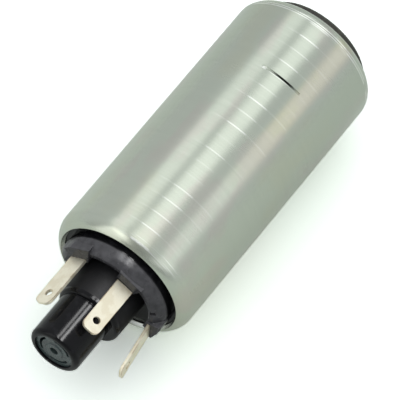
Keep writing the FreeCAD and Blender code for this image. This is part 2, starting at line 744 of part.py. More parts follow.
def brush_spring(key, clock):
    """Spring behind a brush."""
    low = COMMUTATOR_FACE + SNUG + BRUSH_LONG + SNUG
    form = (BRUSH_SPRING_RADIUS, BRUSH_SPRING_WIRE, BRUSH_SPRING_TURNS)
    return spring("brush_spring_" + key, form, low, WELL_TOP - SNUG, polar(BRUSH_AT, clock))


def choke(place):
    """Suppression choke: a ferrite rod with end collars and a winding."""
    low = CAP_REAR + SLIP
    high = CHOKE_TOP - CHOKE_FIT
    waist = CHOKE_RADIUS - CHOKE_WAIST
    steps = [(CHOKE_RADIUS, low), (CHOKE_RADIUS, low + CHOKE_COLLAR), (waist, low + CHOKE_COLLAR),
             (waist, high - CHOKE_COLLAR), (CHOKE_RADIUS, high - CHOKE_COLLAR),
             (CHOKE_RADIUS, high), (0, high)]
    return turned((0, low), steps, polar(*place))


def shaft():
    """Steel shaft with chamfered ends and two flats that drive the inner rotor."""
    end = SHAFT_RADIUS - SHAFT_BEVEL
    steps = [(end, SHAFT_REAR), (SHAFT_RADIUS, SHAFT_REAR + SHAFT_BEVEL),
             (SHAFT_RADIUS, SHAFT_FRONT - SHAFT_BEVEL), (end, SHAFT_FRONT), (0, SHAFT_FRONT)]
    rod = turned((0, SHAFT_REAR), steps)
    return rod.cut(shaft_flats(SHAFT_REAR - 1, PLATE_REAR, 0))


def shaft_flats(low, high, gap):
    """The two slices outside the shaft's flats, moved outwards by a gap."""
    away = 2 * SHAFT_RADIUS - SHAFT_FLAT + gap
    return [block(polar(away, side), side, 2 * SHAFT_RADIUS, 4 * SHAFT_RADIUS, low, high)
            for side in (0, 180)]


def bush(low, high):
    """Sintered bush on the shaft."""
    return tube(BUSH_RADIUS, SHAFT_RADIUS + RUNNING, low, high)


def segments():
    """Copper face of the commutator, split by radial saw cuts."""
    low = COMMUTATOR_FACE - SEGMENT_THICKNESS
    disc = tube(COMMUTATOR_RADIUS, SHAFT_RADIUS + SEGMENT_WALL + SNUG, low, COMMUTATOR_FACE)
    cuts = []
    for index in range(CORE_SLOTS):
        clock = (index + 0.5) * 360 / CORE_SLOTS
        cuts.append(block(polar(COMMUTATOR_RADIUS / 2, clock), clock, COMMUTATOR_RADIUS + 2,
                          SAW_WIDTH, COMMUTATOR_FACE - SAW_DEPTH, COMMUTATOR_FACE + 1))
    return disc.cut(cuts)


def commutator_hub():
    """Moulded hub that carries the copper face."""
    top = COMMUTATOR_FACE - SEGMENT_THICKNESS - SNUG
    low = CORE_FRONT + WINDING_REACH + SLIP
    rim = COMMUTATOR_RADIUS + HUB_LIP
    neck = SHAFT_RADIUS + SEGMENT_WALL
    bore = SHAFT_RADIUS + SNUG / 2
    steps = [(HUB_RADIUS, low), (HUB_RADIUS, top - HUB_FLANGE), (rim, top - HUB_FLANGE),
             (rim, top), (neck, top), (neck, COMMUTATOR_FACE - HUB_LIP),
             (bore, COMMUTATOR_FACE - HUB_LIP)]
    return turned((bore, low), steps)


def armature_core():
    """Slotted stack of laminations."""
    core = tube(CORE_RADIUS, SHAFT_RADIUS + SNUG / 2, CORE_REAR, CORE_FRONT)
    cutters = []
    for index in range(CORE_SLOTS):
        clock = index * 360 / CORE_SLOTS
        cutters.append(cylinder(SLOT_RADIUS, CORE_REAR - 1, CORE_FRONT + 1, polar(SLOT_AT, clock)))
        cutters.append(block(polar(CORE_RADIUS, clock), clock, 2 * SLOT_INSET, SLOT_MOUTH,
                             CORE_REAR - 1, CORE_FRONT + 1))
    return core.cut(cutters)


def winding_end(base, toward):
    """Rounded crown of wire at one end of the core."""
    turn = WINDING_ROUND
    bend = turn * (1 - math.sqrt(0.5))
    bore = SHAFT_RADIUS + INSULATION
    top = base + toward * WINDING_REACH
    steps = [(WINDING_RADIUS, base), (WINDING_RADIUS, top - toward * turn),
             (WINDING_RADIUS - bend, top - toward * bend, WINDING_RADIUS - turn, top),
             (bore + turn, top), (bore, top - toward * turn)]
    return turned((bore, base), steps)


def windings():
    """Crowns at both ends, joined by the wire in the slots."""
    front = winding_end(CORE_FRONT + SNUG, 1)
    rear = winding_end(CORE_REAR - SNUG, -1)
    bars = [cylinder(SLOT_RADIUS - SLIP, CORE_REAR - 1, CORE_FRONT + 1,
                     polar(SLOT_AT, index * 360 / CORE_SLOTS)) for index in range(CORE_SLOTS)]
    return front.fuse([rear] + bars).removeSplitter()


def magnet(clock):
    """Curved magnet on one side of the armature."""
    steps = [(MAGNET_OUTER, MAGNET_REAR), (MAGNET_OUTER, MAGNET_FRONT), (MAGNET_INNER, MAGNET_FRONT)]
    return swept((MAGNET_INNER, MAGNET_REAR), steps, clock - MAGNET_SPAN / 2, clock + MAGNET_SPAN / 2)


def magnet_clip(clock):
    """Bowed spring strip that presses the magnets apart."""
    half = (180 - MAGNET_SPAN) / 2 - CLIP_SIDE
    outer = MAGNET_OUTER - CLIP_INSET
    inner = outer - CLIP_THICKNESS
    low = MAGNET_REAR + CLIP_SHORT
    high = MAGNET_FRONT - CLIP_SHORT
    steps = [(outer, low), (outer, high), (inner, high)]
    return swept((inner, low), steps, clock - half, clock + half)


def washer():
    """Thrust washer in front of the rear bush."""
    low = PLATE_FRONT + SNUG / 2
    return tube(BUSH_RADIUS + WASHER_RIM, SHAFT_RADIUS + SNUG, low, low + WASHER_THICKNESS)


def dowel_points():
    """Centres of the two dowels that line up the pump's three plates."""
    return {"a": polar(DOWEL_AT, PUMP_CLOCK + 90), "b": polar(DOWEL_AT, PUMP_CLOCK - 90)}


def dowel(centre):
    """Straight pin through the ring into both plates."""
    return cylinder(DOWEL_RADIUS, RING_REAR - DOWEL_REACH, PLATE_REAR + DOWEL_REACH, centre)


def dowel_holes():
    """Cutters for the dowels' holes."""
    low = RING_REAR - DOWEL_REACH - SLIP
    high = PLATE_REAR + DOWEL_REACH + SLIP
    return [cylinder(DOWEL_RADIUS + RUNNING, low, high, centre)
            for centre in dowel_points().values()]


def outlet_plate():
    """Plate between the motor and the rotors, with the delivery slot."""
    plate = cylinder(SLEEVE_OUTER, PLATE_REAR, PLATE_FRONT)
    cutters = [kidney(PUMP_CLOCK + 90, PLATE_REAR - 1, PLATE_FRONT + 1),
               cylinder(BUSH_RADIUS + SNUG, PLATE_REAR - 1, PLATE_FRONT + 1)]
    return plate.cut(cutters + dowel_holes())


def rotor_ring():
    """Ring with the off-centre bore that the outer rotor turns in."""
    ring = cylinder(SLEEVE_OUTER, RING_REAR, PLATE_REAR)
    bore = cylinder(OUTER_ROTOR_RADIUS + SNUG, RING_REAR - 1, PLATE_REAR + 1, rotor_centre())
    return ring.cut([bore] + dowel_holes())


def rotor_centre():
    """Axis of the outer rotor."""
    return polar(ECCENTRICITY, PUMP_CLOCK + 180)


def outer_rotor():
    """Ring with one round tooth more than the inner rotor has lobes."""
    centre = rotor_centre()
    low = RING_REAR + ROTOR_SIDE_GAP
    high = PLATE_REAR - ROTOR_SIDE_GAP
    cavity = PIN_CIRCLE - PIN_RADIUS + 2 * ECCENTRICITY + LOBE_CLEARANCE
    ring = tube(OUTER_ROTOR_RADIUS, cavity, low, high, centre)
    bound = cylinder(OUTER_ROTOR_RADIUS, low, high, centre)
    teeth = []
    for index in range(LOBES + 1):
        middle = centre + polar(PIN_CIRCLE, PUMP_CLOCK + index * 360 / (LOBES + 1))
        teeth.append(cylinder(PIN_RADIUS, low, high, middle).common(bound))
    return ring.fuse(teeth).removeSplitter()


def lobe_point(turn):
    """Point of the inner rotor's outline, which rolls inside the ring of teeth."""
    teeth = LOBES + 1
    reach = PIN_RADIUS + LOBE_CLEARANCE
    swing = math.atan2(-math.sin(LOBES * turn), 1 / LOBE_SHAPE - math.cos(LOBES * turn))
    point = Vector(0, 0, 0)
    for size, angle in ((PIN_CIRCLE, turn), (-reach, turn + swing), (-ECCENTRICITY, teeth * turn)):
        point += Vector(size * math.cos(angle), -size * math.sin(angle), 0)
    return point


def lobe_edges():
    """The inner rotor's outline, one smooth edge from root to root for each lobe."""
    pitch = 2 * math.pi / LOBES
    steps = 14
    points = [lobe_point(pitch * index / steps) for index in range(steps + 1)]
    curve = Part.BSplineCurve()
    leave = Vector(0, -1, 0)
    arrive = Vector(-math.sin(pitch), -math.cos(pitch), 0)
    curve.interpolate(Points=points, InitialTangent=leave, FinalTangent=arrive)
    edges = []
    for index in range(LOBES):
        edge = curve.toShape()
        edge.rotate(Vector(0, 0, 0), AXIS, -index * 360 / LOBES)
        edges.append(edge)
    return edges


def inner_rotor():
    """Lobed rotor with a flatted bore on the shaft."""
    low = RING_REAR + ROTOR_SIDE_GAP
    high = PLATE_REAR - ROTOR_SIDE_GAP
    face = Part.Face(Part.Wire(lobe_edges()))
    rotor = face.extrude(Vector(0, 0, high - low))
    rotor.translate(Vector(0, 0, low))
    bore = cylinder(SHAFT_RADIUS + SNUG, low - 1, high + 1)
    return rotor.cut(bore.cut(shaft_flats(low - 2, high + 2, SNUG)))


def inlet_cover():
    """Rear cover with the inlet port, its slot to the rotors and a stepped boss."""
    end = roll_point(REAR_CENTRE, COVER_ROLL, COVER_TURN, -1)
    middle = roll_point(REAR_CENTRE, COVER_ROLL, COVER_TURN / 2, -1)
    steps = [
        (COVER_BOSS_RADIUS - COVER_CHAMFER, COVER_REAR),
        (COVER_BOSS_RADIUS, COVER_REAR + COVER_CHAMFER),
        (COVER_BOSS_RADIUS, end[1]),
        end,
        middle + (REAR_CENTRE[0] + COVER_ROLL, REAR_ROLL_START),
        (REAR_CENTRE[0] + COVER_ROLL, RING_REAR),
        (0, RING_REAR),
    ]
    cover = turned((0, COVER_REAR), steps)
    port = polar(INLET_AT, PUMP_CLOCK - 90)
    cutters = [
        cylinder(INLET_RADIUS, COVER_REAR - 1, COVER_REAR + INLET_DEPTH, port),
        kidney(PUMP_CLOCK - 90, COVER_REAR + INLET_DEPTH - INLET_OVERLAP, RING_REAR + 1),
        cylinder(BUTTON_RADIUS + SNUG, RING_REAR - BUTTON_THICKNESS - SNUG, RING_REAR + 1),
    ]
    return cover.cut(cutters + dowel_holes() + rear_pockets()).removeSplitter()


def rear_pockets():
    """Cutters for the shallow pockets that keep the cover's wall even."""
    pockets = []
    outer = COVER_BOSS_RADIUS - COVER_POCKET_WALL
    inner = outer - COVER_POCKET_WIDTH
    floor = COVER_REAR + COVER_POCKET_DEPTH
    corners = [(outer, COVER_REAR - 1), (outer, floor), (inner, floor)]
    half = COVER_POCKET_SPAN / 2
    for clock in (PUMP_CLOCK + 60, PUMP_CLOCK + 120):
        pockets.append(swept((inner, COVER_REAR - 1), corners, clock - half, clock + half))
    return pockets


def button():
    """Hardened disc that the shaft's end bears on."""
    return cylinder(BUTTON_RADIUS, RING_REAR - BUTTON_THICKNESS, RING_REAR)


def pieces():
    """All pieces by name, before the pump is laid down."""
    parts = {
        "case": case_shell(),
        "outlet_cap": outlet_cap(),
        "cap_seal": cap_seal(),
        "check_valve_guide": valve_guide(),
        "check_valve_poppet": valve_poppet(),
        "check_valve_seal": valve_seal(),
        "check_valve_spring": valve_spring(),
        "relief_valve_ball": relief_ball(),
        "relief_valve_spring": relief_spring(),
        "relief_valve_plug": relief_plug(),
        "front_bush": bush(CAP_REAR, FRONT_BUSH_TOP),
        "rear_bush": bush(PLATE_REAR, PLATE_FRONT),
        "shaft": shaft(),
        "commutator_segments": segments(),
        "commutator_hub": commutator_hub(),
        "armature_core": armature_core(),
        "armature_windings": windings(),
        "thrust_washer": washer(),
        "flux_sleeve": tube(SLEEVE_OUTER, SLEEVE_INNER, PLATE_FRONT + SNUG, CAP_REAR - SNUG),
        "outlet_plate": outlet_plate(),
        "rotor_ring": rotor_ring(),
        "outer_rotor": outer_rotor(),
        "inner_rotor": inner_rotor(),
        "thrust_button": button(),
        "inlet_cover": inlet_cover(),
    }
    for name in BLADES:
        parts[name] = blade(name)
    for key, clock in BRUSH_CLOCKS.items():
        parts["brush_" + key] = brush(clock)
        parts["brush_spring_" + key] = brush_spring(key, clock)
    for key, place in CHOKES.items():
        parts["choke_" + key] = choke(place)
    for key, clock in (("a", 90), ("b", 270)):
        parts["magnet_" + key] = magnet(clock)
        parts["magnet_clip_" + key] = magnet_clip(clock - 90)
    for key, centre in dowel_points().items():
        parts["dowel_" + key] = dowel(centre)
    return parts


def export():
    """Lay every piece down and write it."""
    os.makedirs("parts", exist_ok=True)
    for name, shape in sorted(pieces().items()):
        laid = shape.copy()
        laid.Placement = LAY_DOWN.multiply(laid.Placement)
        solids = laid.Solids
        print(name, len(solids), "solid", round(laid.Volume, 1), "mm3", laid.isValid())
        body = solids[0] if len(solids) == 1 else laid
        body.exportStep("parts/" + name + ".step")


export()
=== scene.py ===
"""Electric fuel pump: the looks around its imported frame.

A name that ends in _mm holds millimetres. The pump's axis runs along X, AXIS_MM above the
floor, with its outlet at +X. Clock angles are in degrees and run from straight up
towards +Y.
"""

import json
import logging
import math
from dataclasses import dataclass, field
from enum import Enum

import bmesh
import bpy
from mathutils import Matrix, Vector

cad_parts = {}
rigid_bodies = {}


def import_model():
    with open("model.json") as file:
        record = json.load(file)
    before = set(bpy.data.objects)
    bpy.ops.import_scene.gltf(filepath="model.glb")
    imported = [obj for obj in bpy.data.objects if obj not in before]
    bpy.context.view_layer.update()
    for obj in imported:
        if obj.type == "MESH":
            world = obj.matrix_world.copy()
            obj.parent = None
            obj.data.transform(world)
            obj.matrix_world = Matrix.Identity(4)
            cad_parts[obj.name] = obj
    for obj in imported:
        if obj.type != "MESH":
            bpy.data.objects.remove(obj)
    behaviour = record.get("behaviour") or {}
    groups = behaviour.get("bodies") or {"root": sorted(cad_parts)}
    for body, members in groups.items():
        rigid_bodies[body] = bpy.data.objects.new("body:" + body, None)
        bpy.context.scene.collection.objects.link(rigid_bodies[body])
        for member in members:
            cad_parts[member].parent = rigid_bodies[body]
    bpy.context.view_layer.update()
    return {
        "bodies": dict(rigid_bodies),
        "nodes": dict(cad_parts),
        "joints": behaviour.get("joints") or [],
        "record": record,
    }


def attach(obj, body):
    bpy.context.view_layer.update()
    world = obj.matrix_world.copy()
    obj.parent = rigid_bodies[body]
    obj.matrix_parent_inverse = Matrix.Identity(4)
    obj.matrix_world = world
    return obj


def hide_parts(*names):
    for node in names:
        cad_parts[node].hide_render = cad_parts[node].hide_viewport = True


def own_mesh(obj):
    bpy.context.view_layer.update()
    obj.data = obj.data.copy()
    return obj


LOG = logging.getLogger("fuel_pump")
# Metres in a millimetre.
MM = 0.001
# Side of the photograph's frame in pixels.
IMAGE_PIXELS = 400
# Height of the pump's axis over the floor.
AXIS_MM = 19.5
# Front of the case's rolled lip along X.
LIP_MM = 29.55
# Past every end of the pump, for a range that is open on one side.
FAR_MM = 1000.0
# Levels that nearly all of a noise lies between, and a narrower pair round its mean.
NOISE = (0.3, 0.7)
NOISE_MIDDLE = (0.35, 0.65)
# Rays that the roundness of an edge is worked out with.
BEVEL_SAMPLES = 6

Tree = bpy.types.NodeTree
Node = bpy.types.Node
Socket = bpy.types.NodeSocket
Colour = tuple[float, float, float, float]


def linear(code: str) -> Colour:
    """Turn an sRGB hex colour into linear light.

    Args:
        code: Six hex digits.

    Returns:
        Red, green, blue and a full alpha.
    """
    channels = [int(code[start:start + 2], 16) / 255 for start in (0, 2, 4)]
    light = [c / 12.92 if c <= 0.04045 else ((c + 0.055) / 1.055) ** 2.4 for c in channels]
    return (light[0], light[1], light[2], 1.0)


def add(tree: Tree, kind: str, inputs: dict | None = None, **settings: object) -> Node:
    """Add one node, set its properties and fill its inputs.

    Args:
        tree: Node tree that gets the node.
        kind: Blender's name of the node type, without ShaderNode.
        inputs: Input name or index to a value, a hex colour, a socket or a node to link.
        settings: Properties of the node.

    Returns:
        The new node.
    """
    node = tree.nodes.new("ShaderNode" + kind)
    for name, value in settings.items():
        setattr(node, name, value)
    for key, value in (inputs or {}).items():
        if isinstance(value, str):
            value = linear(value)
        if isinstance(value, Node):
            value = next(output for output in value.outputs if output.enabled)
        if isinstance(value, Socket):
            tree.links.new(value, node.inputs[key])
        else:
            node.inputs[key].default_value = value
    return node


class Lay(Enum):
    """How a surface's fine marks run: the factors by which they grow along each axis."""

    EVEN = (1.0, 1.0, 1.0)
    ROUND = (1.0, 60.0, 60.0)
    ALONG = (60.0, 1.0, 1.0)


@dataclass(frozen=True)
class Span:
    """A range with soft ends.

    Attributes:
        low: Start of the range.
        high: End of the range.
        soft: Half of the width of each soft end.
    """

    low: float
    high: float
    soft: float


@dataclass(frozen=True)
class Grain:
    """Noise whose features have a real size.

    Attributes:
        size_mm: Distance between features.
        stretch: Factors by which features grow along each axis.
        detail: Finer layers on top.
    """

    size_mm: float
    stretch: tuple[float, float, float] = Lay.EVEN.value
    detail: float = 3.0


@dataclass(frozen=True)
class Patches:
    """Irregular patches.

    Attributes:
        size_mm: Size of a patch.
        share: Share of the surface that they take.
        full: Strength in a patch's middle.
        stretch: Factors by which patches grow along each axis.
        ragged: Finer layers on a patch's outline.
        level: Noise level at which patches start where they take no share.
        fall: How far that level falls where they take everything.
        soft: How far a patch's edge fades below and above its level.
    """

    size_mm: float
    share: float
    full: float = 1.0
    stretch: tuple[float, float, float] = Lay.EVEN.value
    ragged: float = 4.0
    level: float = 0.66
    fall: float = 0.3
    soft: tuple[float, float] = (0.06, 0.08)


@dataclass
class Surface:
    """Places and patterns that a finish is drawn from, in one material's node tree.

    Attributes:
        tree: The material's node tree.
        place: Each point's place on the pump, in metres.
        along: Its place along the pump's axis.
        side: Its distance towards +Y from the axis.
        above: Its height over the axis.
    """

    tree: Tree
    place: Socket = field(init=False)
    along: Socket = field(init=False)
    side: Socket = field(init=False)
    above: Node = field(init=False)

    def __post_init__(self) -> None:
        """Add the nodes that give a point's place."""
        self.place = add(self.tree, "TexCoord").outputs["Object"]
        split = add(self.tree, "SeparateXYZ", {0: self.place}).outputs
        self.along = split[0]
        self.side = split[1]
        self.above = add(self.tree, "Math", {0: split[2], 1: AXIS_MM * MM},
                         operation="SUBTRACT")

    def clock(self) -> Node:
        """Clock angle in degrees."""
        angle = add(self.tree, "Math", {0: self.side, 1: self.above}, operation="ARCTAN2")
        return add(self.tree, "Math", {0: angle}, operation="DEGREES")

    def radius(self) -> Node:
        """Distance from the pump's axis in metres."""
        across = add(self.tree, "CombineXYZ", {1: self.side, 2: self.above})
        return add(self.tree, "VectorMath", {0: across}, operation="LENGTH")

    def within(self, value: Socket | Node, span: Span, unit: float = 1.0) -> Node:
        """One where a value lies in a span, fading to zero at its soft ends.

        Args:
            value: What is tested.
            span: The range.
            unit: What one in the span's numbers is in the value: MM for a length.

        Returns:
            The mask.
        """
        low, high, soft = span.low * unit, span.high * unit, span.soft * unit
        rise = add(self.tree, "MapRange", {
            "Value": value, "From Min": low - soft, "From Max": low + soft},
            interpolation_type="SMOOTHSTEP")
        fall = add(self.tree, "MapRange", {
            "Value": value, "From Min": high + soft, "From Max": high - soft},
            interpolation_type="SMOOTHSTEP")
        return add(self.tree, "Math", {0: rise, 1: fall}, operation="MULTIPLY")

    def grain(self, grain: Grain) -> Node:
        """The noise of a grain.

        Args:
            grain: Size, stretch and detail of the noise.

        Returns:
            The noise, about 0.25 to 0.75.
        """
        scale = tuple(1 / (grain.size_mm * MM * factor) for factor in grain.stretch)
        moved = add(self.tree, "Mapping", {"Vector": self.place, "Scale": scale})
        return add(self.tree, "TexNoise", {
            "Vector": moved, "Scale": 1.0, "Detail": grain.detail})

    def patches(self, patches: Patches) -> Node:
        """Where patches lie.

        Args:
            patches: Size and share of the patches.

        Returns:
            The mask.
        """
        level = patches.level - patches.fall * patches.share
        below, over = patches.soft
        noise = self.grain(Grain(patches.size_mm, patches.stretch, patches.ragged))
        return add(self.tree, "MapRange", {
            "Value": noise, "From Min": level - below, "From Max": level + over,
            "To Max": patches.full}, interpolation_type="SMOOTHSTEP")


@dataclass(frozen=True)
class Finish:
    """A real material with its surface, written as Principled values.

    Attributes:
        name: Material's common name and how its surface was made.
        colour: Base colour as sRGB hex.
        worn: Colour of its stained or worn patches as sRGB hex.
        edge: Colour along its edges as sRGB hex.
        metallic: One for bare metal.
        roughness: Mean roughness.
        ior: Index of refraction; a metal keeps the default.
        specular: Principled's specular level, where half is plain.
        lay: How the fine marks run.
        wear: Share of the surface that the patches take.
        patch_mm: Size of the patches.
        grain_mm: Size of the surface's grain.
        relief_mm: Depth of the grain.
        edge_mm: Width of the worn or stained edge.
        round_mm: Radius that tool or die left on each edge.
        coat: Weight of a clear skin on top.
        mark_share: How far the strongest marks take the colour towards the worn one.
        spread: Least and greatest roughness, as shares of the mean.
        edge_share: Share of the edges that is worn or stained.
        edge_turn: Likeness of the flat and the rounded normal at which an edge starts, and
            that at which it is full.
    """

    name: str
    colour: str
    worn: str
    edge: str
    metallic: float = 0.0
    roughness: float = 0.5
    ior: float = 1.5
    specular: float = 0.5
    lay: Lay = Lay.EVEN
    wear: float = 0.35
    patch_mm: float = 3.0
    grain_mm: float = 0.3
    relief_mm: float = 0.01
    edge_mm: float = 0.3
    round_mm: float = 0.12
    coat: float = 0.0
    mark_share: float = 0.15
    spread: tuple[float, float] = (0.82, 1.18)
    edge_share: float = 0.6
    edge_turn: tuple[float, float] = (0.99, 0.86)

    def material(self) -> bpy.types.Material:
        """Make the material, once for each finish.

        Returns:
            The material, or the one that is already there.
        """
        known = bpy.data.materials.get(self.name)
        if known:
            return known
        made = bpy.data.materials.new(self.name)
        made.use_nodes = True
        tree = made.node_tree
        surface = Surface(tree)
        shader = tree.nodes["Principled BSDF"]
        shader.inputs["Metallic"].default_value = self.metallic
        shader.inputs["Coat Weight"].default_value = self.coat
        if not self.metallic:
            shader.inputs["IOR"].default_value = self.ior
            shader.inputs["Specular IOR Level"].default_value = self.specular
        rounded = add(tree, "Bevel", {"Radius": self.round_mm * MM}, samples=BEVEL_SAMPLES)
        bump = add(tree, "Bump", {"Height": self.marks(surface), "Normal": rounded,
                                  "Distance": self.relief_mm * MM})
        tree.links.new(bump.outputs["Normal"], shader.inputs["Normal"])
        tree.links.new(self.tint(surface).outputs[2], shader.inputs["Base Color"])
        tree.links.new(self.gloss(surface).outputs[0], shader.inputs["Roughness"])
        return made

    def marks(self, surface: Surface) -> Node:
        """Fine marks, drawn out the way that the surface was worked."""
        return surface.grain(Grain(self.grain_mm, self.lay.value))

    def edges(self, surface: Surface) -> Node:
        """Find the worn edges, broken up as wear is.

        Args:
            surface: What the finish is drawn from.

        Returns:
            The mask.
        """
        tree = surface.tree
        wide = add(tree, "Bevel", {"Radius": self.edge_mm * MM}, samples=BEVEL_SAMPLES)
        flat = add(tree, "NewGeometry").outputs["Normal"]
        likeness = add(tree, "VectorMath", {0: wide, 1: flat}, operation="DOT_PRODUCT")
        start, full = self.edge_turn
        mask = add(tree, "MapRange", {"Value": likeness, "From Min": start, "From Max": full},
                   interpolation_type="SMOOTHSTEP")
        worn = surface.patches(Patches(self.patch_mm, self.edge_share))
        return add(tree, "Math", {0: mask, 1: worn}, operation="MULTIPLY")

    def tint(self, surface: Surface) -> Node:
        """Mix the base colour with its patches, marks and edges.

        Args:
            surface: What the finish is drawn from.

        Returns:
            The colour.
        """
        tree = surface.tree
        worn = add(tree, "Mix", {0: surface.patches(Patches(self.patch_mm, self.wear)),
                                 6: self.colour, 7: self.worn}, data_type="RGBA")
        share = add(tree, "MapRange", {
            "Value": self.marks(surface), "From Min": NOISE_MIDDLE[0],
            "From Max": NOISE_MIDDLE[1], "To Max": self.mark_share})
        marked = add(tree, "Mix", {0: share, 6: worn, 7: self.worn}, data_type="RGBA")
        return add(tree, "Mix", {0: self.edges(surface), 6: marked, 7: self.edge},
                   data_type="RGBA")

    def gloss(self, surface: Surface) -> Node:
        """Vary the roughness with the marks.

        Args:
            surface: What the finish is drawn from.

        Returns:
            The roughness.
        """
        least, most = self.spread
        return add(surface.tree, "MapRange", {
            "Value": self.marks(surface), "From Min": NOISE[0], "From Max": NOISE[1],
            "To Min": self.roughness * least, "To Max": min(1.0, self.roughness * most)})


@dataclass(frozen=True)
class RolledCaseSteel(Finish):
    """Nickel-plated steel tube, polished in a lathe, with its two ends rolled in.

    Attributes:
        mark_share: How far the strongest marks take the colour towards the worn one.
        spread: Least and greatest roughness of the clouds, as shares of the mean.
        straw: Straw tint as sRGB hex.
        rose: Rose tint as sRGB hex.
        fresh_and_highlight: Colour of worn-bright plating and of the painted highlights as sRGB
            hex.
        groove_shade: Colour of the painted shade in the staked grooves as sRGB hex.
        straw_cloud: Clouds of the straw tint.
        rose_cloud: Clouds of the rose tint.
        straw_clock: Clock angles of a swath of the straw tint.
        straw_mm: Places along X where that swath starts to show and where it is full.
        film: Strength of the dull film at the rear.
        film_mm: Places along X where the film starts and where it is full.
        ring_pitch_mm: Distance between the polishing wheel's rings.
        ring_start_mm: Place of one ring along X.
        ring_mm: Distances from a ring's middle that it covers.
        ring_highlight_clock: Clock angles at which the rings are strong: a painted highlight where
            the lamps reflect.
        faint_highlight_clock: Clock angles at which they are faint: a weaker painted highlight.
        faint: Strength of the faint rings.
        ring_break: Grain that breaks up the rings.
        break_levels: Levels of that grain where a ring is faintest and where it is full.
        break_least: Strength of a ring where it is faintest.
        ring_share: Strength of the rings in the colour.
        rear_highlight_mm: Places along X of two lines of painted highlight at the rear bend.
        shoulder_mm: Places along X of its lines at the front bend.
        shoulder_clock: Clock angles of those lines.
        shoulder_lines: The lines themselves.
        line_break: Patches where the tool's lines at the front bend and the painted highlight at
            the rear bend show.
        line_share: Strength of the tool's lines and of the painted highlights at the rear bend and
            on the lip in the colour.
        lip_highlight_mm: Distances from the axis at which the front lip gets a painted highlight.
        lip_along_mm: Places along X of that lip.
        stake_clock: Clock angle at which the first staked groove starts.
        stake_apart: Clock angle from one groove to the next.
        stake_mm: Places of the grooves along X.
        stake_depth_mm: Distances from the axis where the painted shade starts in a groove and where
            it is full.
        groove_shade_clock: Clock angles from a groove's start that get the painted shade.
        groove_highlight_clock: Clock angles from a groove's start that get a painted highlight on
            one wall.
        groove_highlight_mm: Places along X of that painted highlight.
        cloud: Grain of the clouds in the gloss.
        fine: Difference in roughness between the lathe's fine lines.
    """

    mark_share: float = 0.07
    spread: tuple[float, float] = (0.92, 1.08)
    straw: str = "C1C0A8"
    rose: str = "C1BBB3"
    # This colour paints both worn-bright plating and the painted highlights.
    fresh_and_highlight: str = "F4F6F0"
    # Painted shade: colour that darkens the staked grooves.
    groove_shade: str = "20221E"
    straw_cloud: Patches = Patches(14.0, 0.3, 0.3, (2.2, 1.0, 1.0))
    rose_cloud: Patches = Patches(8.0, 0.35, 0.5, (2.5, 1.0, 1.0))
    straw_clock: Span = Span(33.0, 47.0, 3.0)
    straw_mm: tuple[float, float] = (6.0, -22.0)
    film: float = 0.18
    film_mm: tuple[float, float] = (24.0, -48.0)
    ring_pitch_mm: float = 4.5
    ring_start_mm: float = 0.675
    ring_mm: Span = Span(-FAR_MM, 0.2, 0.12)
    # Painted highlight: the rings are lighter only in the clock bands where the lamps reflect.
    ring_highlight_clock: Span = Span(8.0, 25.0, 1.6)
    faint_highlight_clock: Span = Span(-2.0, 46.0, 3.0)
    faint: float = 0.2
    ring_break: Grain = Grain(2.6, (1.0, 9.0, 9.0), 0.0)
    break_levels: tuple[float, float] = (0.3, 0.62)
    break_least: float = 0.15
    ring_share: float = 0.5
    # Painted highlight: two light lines along the rear bend.
    rear_highlight_mm: tuple[Span, Span] = (Span(-49.35, -49.15, 0.08), Span(-49.95, -49.75, 0.08))
    shoulder_mm: Span = Span(26.4, 28.4, 0.5)
    shoulder_clock: Span = Span(8.0, 50.0, 5.0)
    shoulder_lines: Patches = Patches(0.3, 0.3, stretch=(1.0, 50.0, 50.0))
    line_break: Patches = Patches(6.0, 0.8)
    line_share: float = 0.8
    # Painted highlight: a light rim round the front lip.
    lip_highlight_mm: Span = Span(0.0, 16.75, 0.25)
    lip_along_mm: Span = Span(LIP_MM - 1.0, FAR_MM, 0.3)
    stake_clock: float = 1.8
    stake_apart: float = 120.0
    stake_mm: Span = Span(-32.25, -30.25, 0.2)
    # Painted shade inside each staked groove, and a painted highlight on one wall at its start.
    stake_depth_mm: tuple[float, float] = (19.47, 19.39)
    groove_shade_clock: Span = Span(10.0, 28.0, 5.0)
    groove_highlight_clock: Span = Span(-0.5, 3.0, 1.5)
    groove_highlight_mm: Span = Span(-31.4, -30.75, 0.2)
    cloud: Grain = Grain(9.0, (2.0, 1.0, 1.0), 1.0)
    fine: float = 0.04

    def rings(self, surface: Surface) -> Node:
        """Draw the wheel's rings, lightened as a painted highlight only in the clock bands where
        the lamps reflect.

        Args:
            surface: What the finish is drawn from.

        Returns:
            Their strength.
        """
        tree = surface.tree
        pitch = self.ring_pitch_mm * MM
        # A hundred whole pitches keep the distance from that ring positive.
        start = add(tree, "Math", {0: surface.along, 1: self.ring_start_mm * MM - 100 * pitch},
                    operation="SUBTRACT")
        gap = add(tree, "Math", {0: start, 1: pitch / 2}, operation="PINGPONG")
        line = surface.within(gap, self.ring_mm, MM)
        # The rings are lightened only in the lamps' reflection band: a painted highlight.
        clock = surface.clock()
        strong = surface.within(clock, self.ring_highlight_clock)
        faint = add(tree, "Math", {0: surface.within(clock, self.faint_highlight_clock), 1: self.faint},
                    operation="MULTIPLY")
        shown = add(tree, "Math", {0: strong, 1: faint}, operation="MAXIMUM")
        low, high = self.break_levels
        uneven = add(tree, "MapRange", {
            "Value": surface.grain(self.ring_break), "From Min": low, "From Max": high,
            "To Min": self.break_least})
        drawn = add(tree, "Math", {0: line, 1: shown}, operation="MULTIPLY")
        return add(tree, "Math", {0: drawn, 1: uneven}, operation="MULTIPLY")

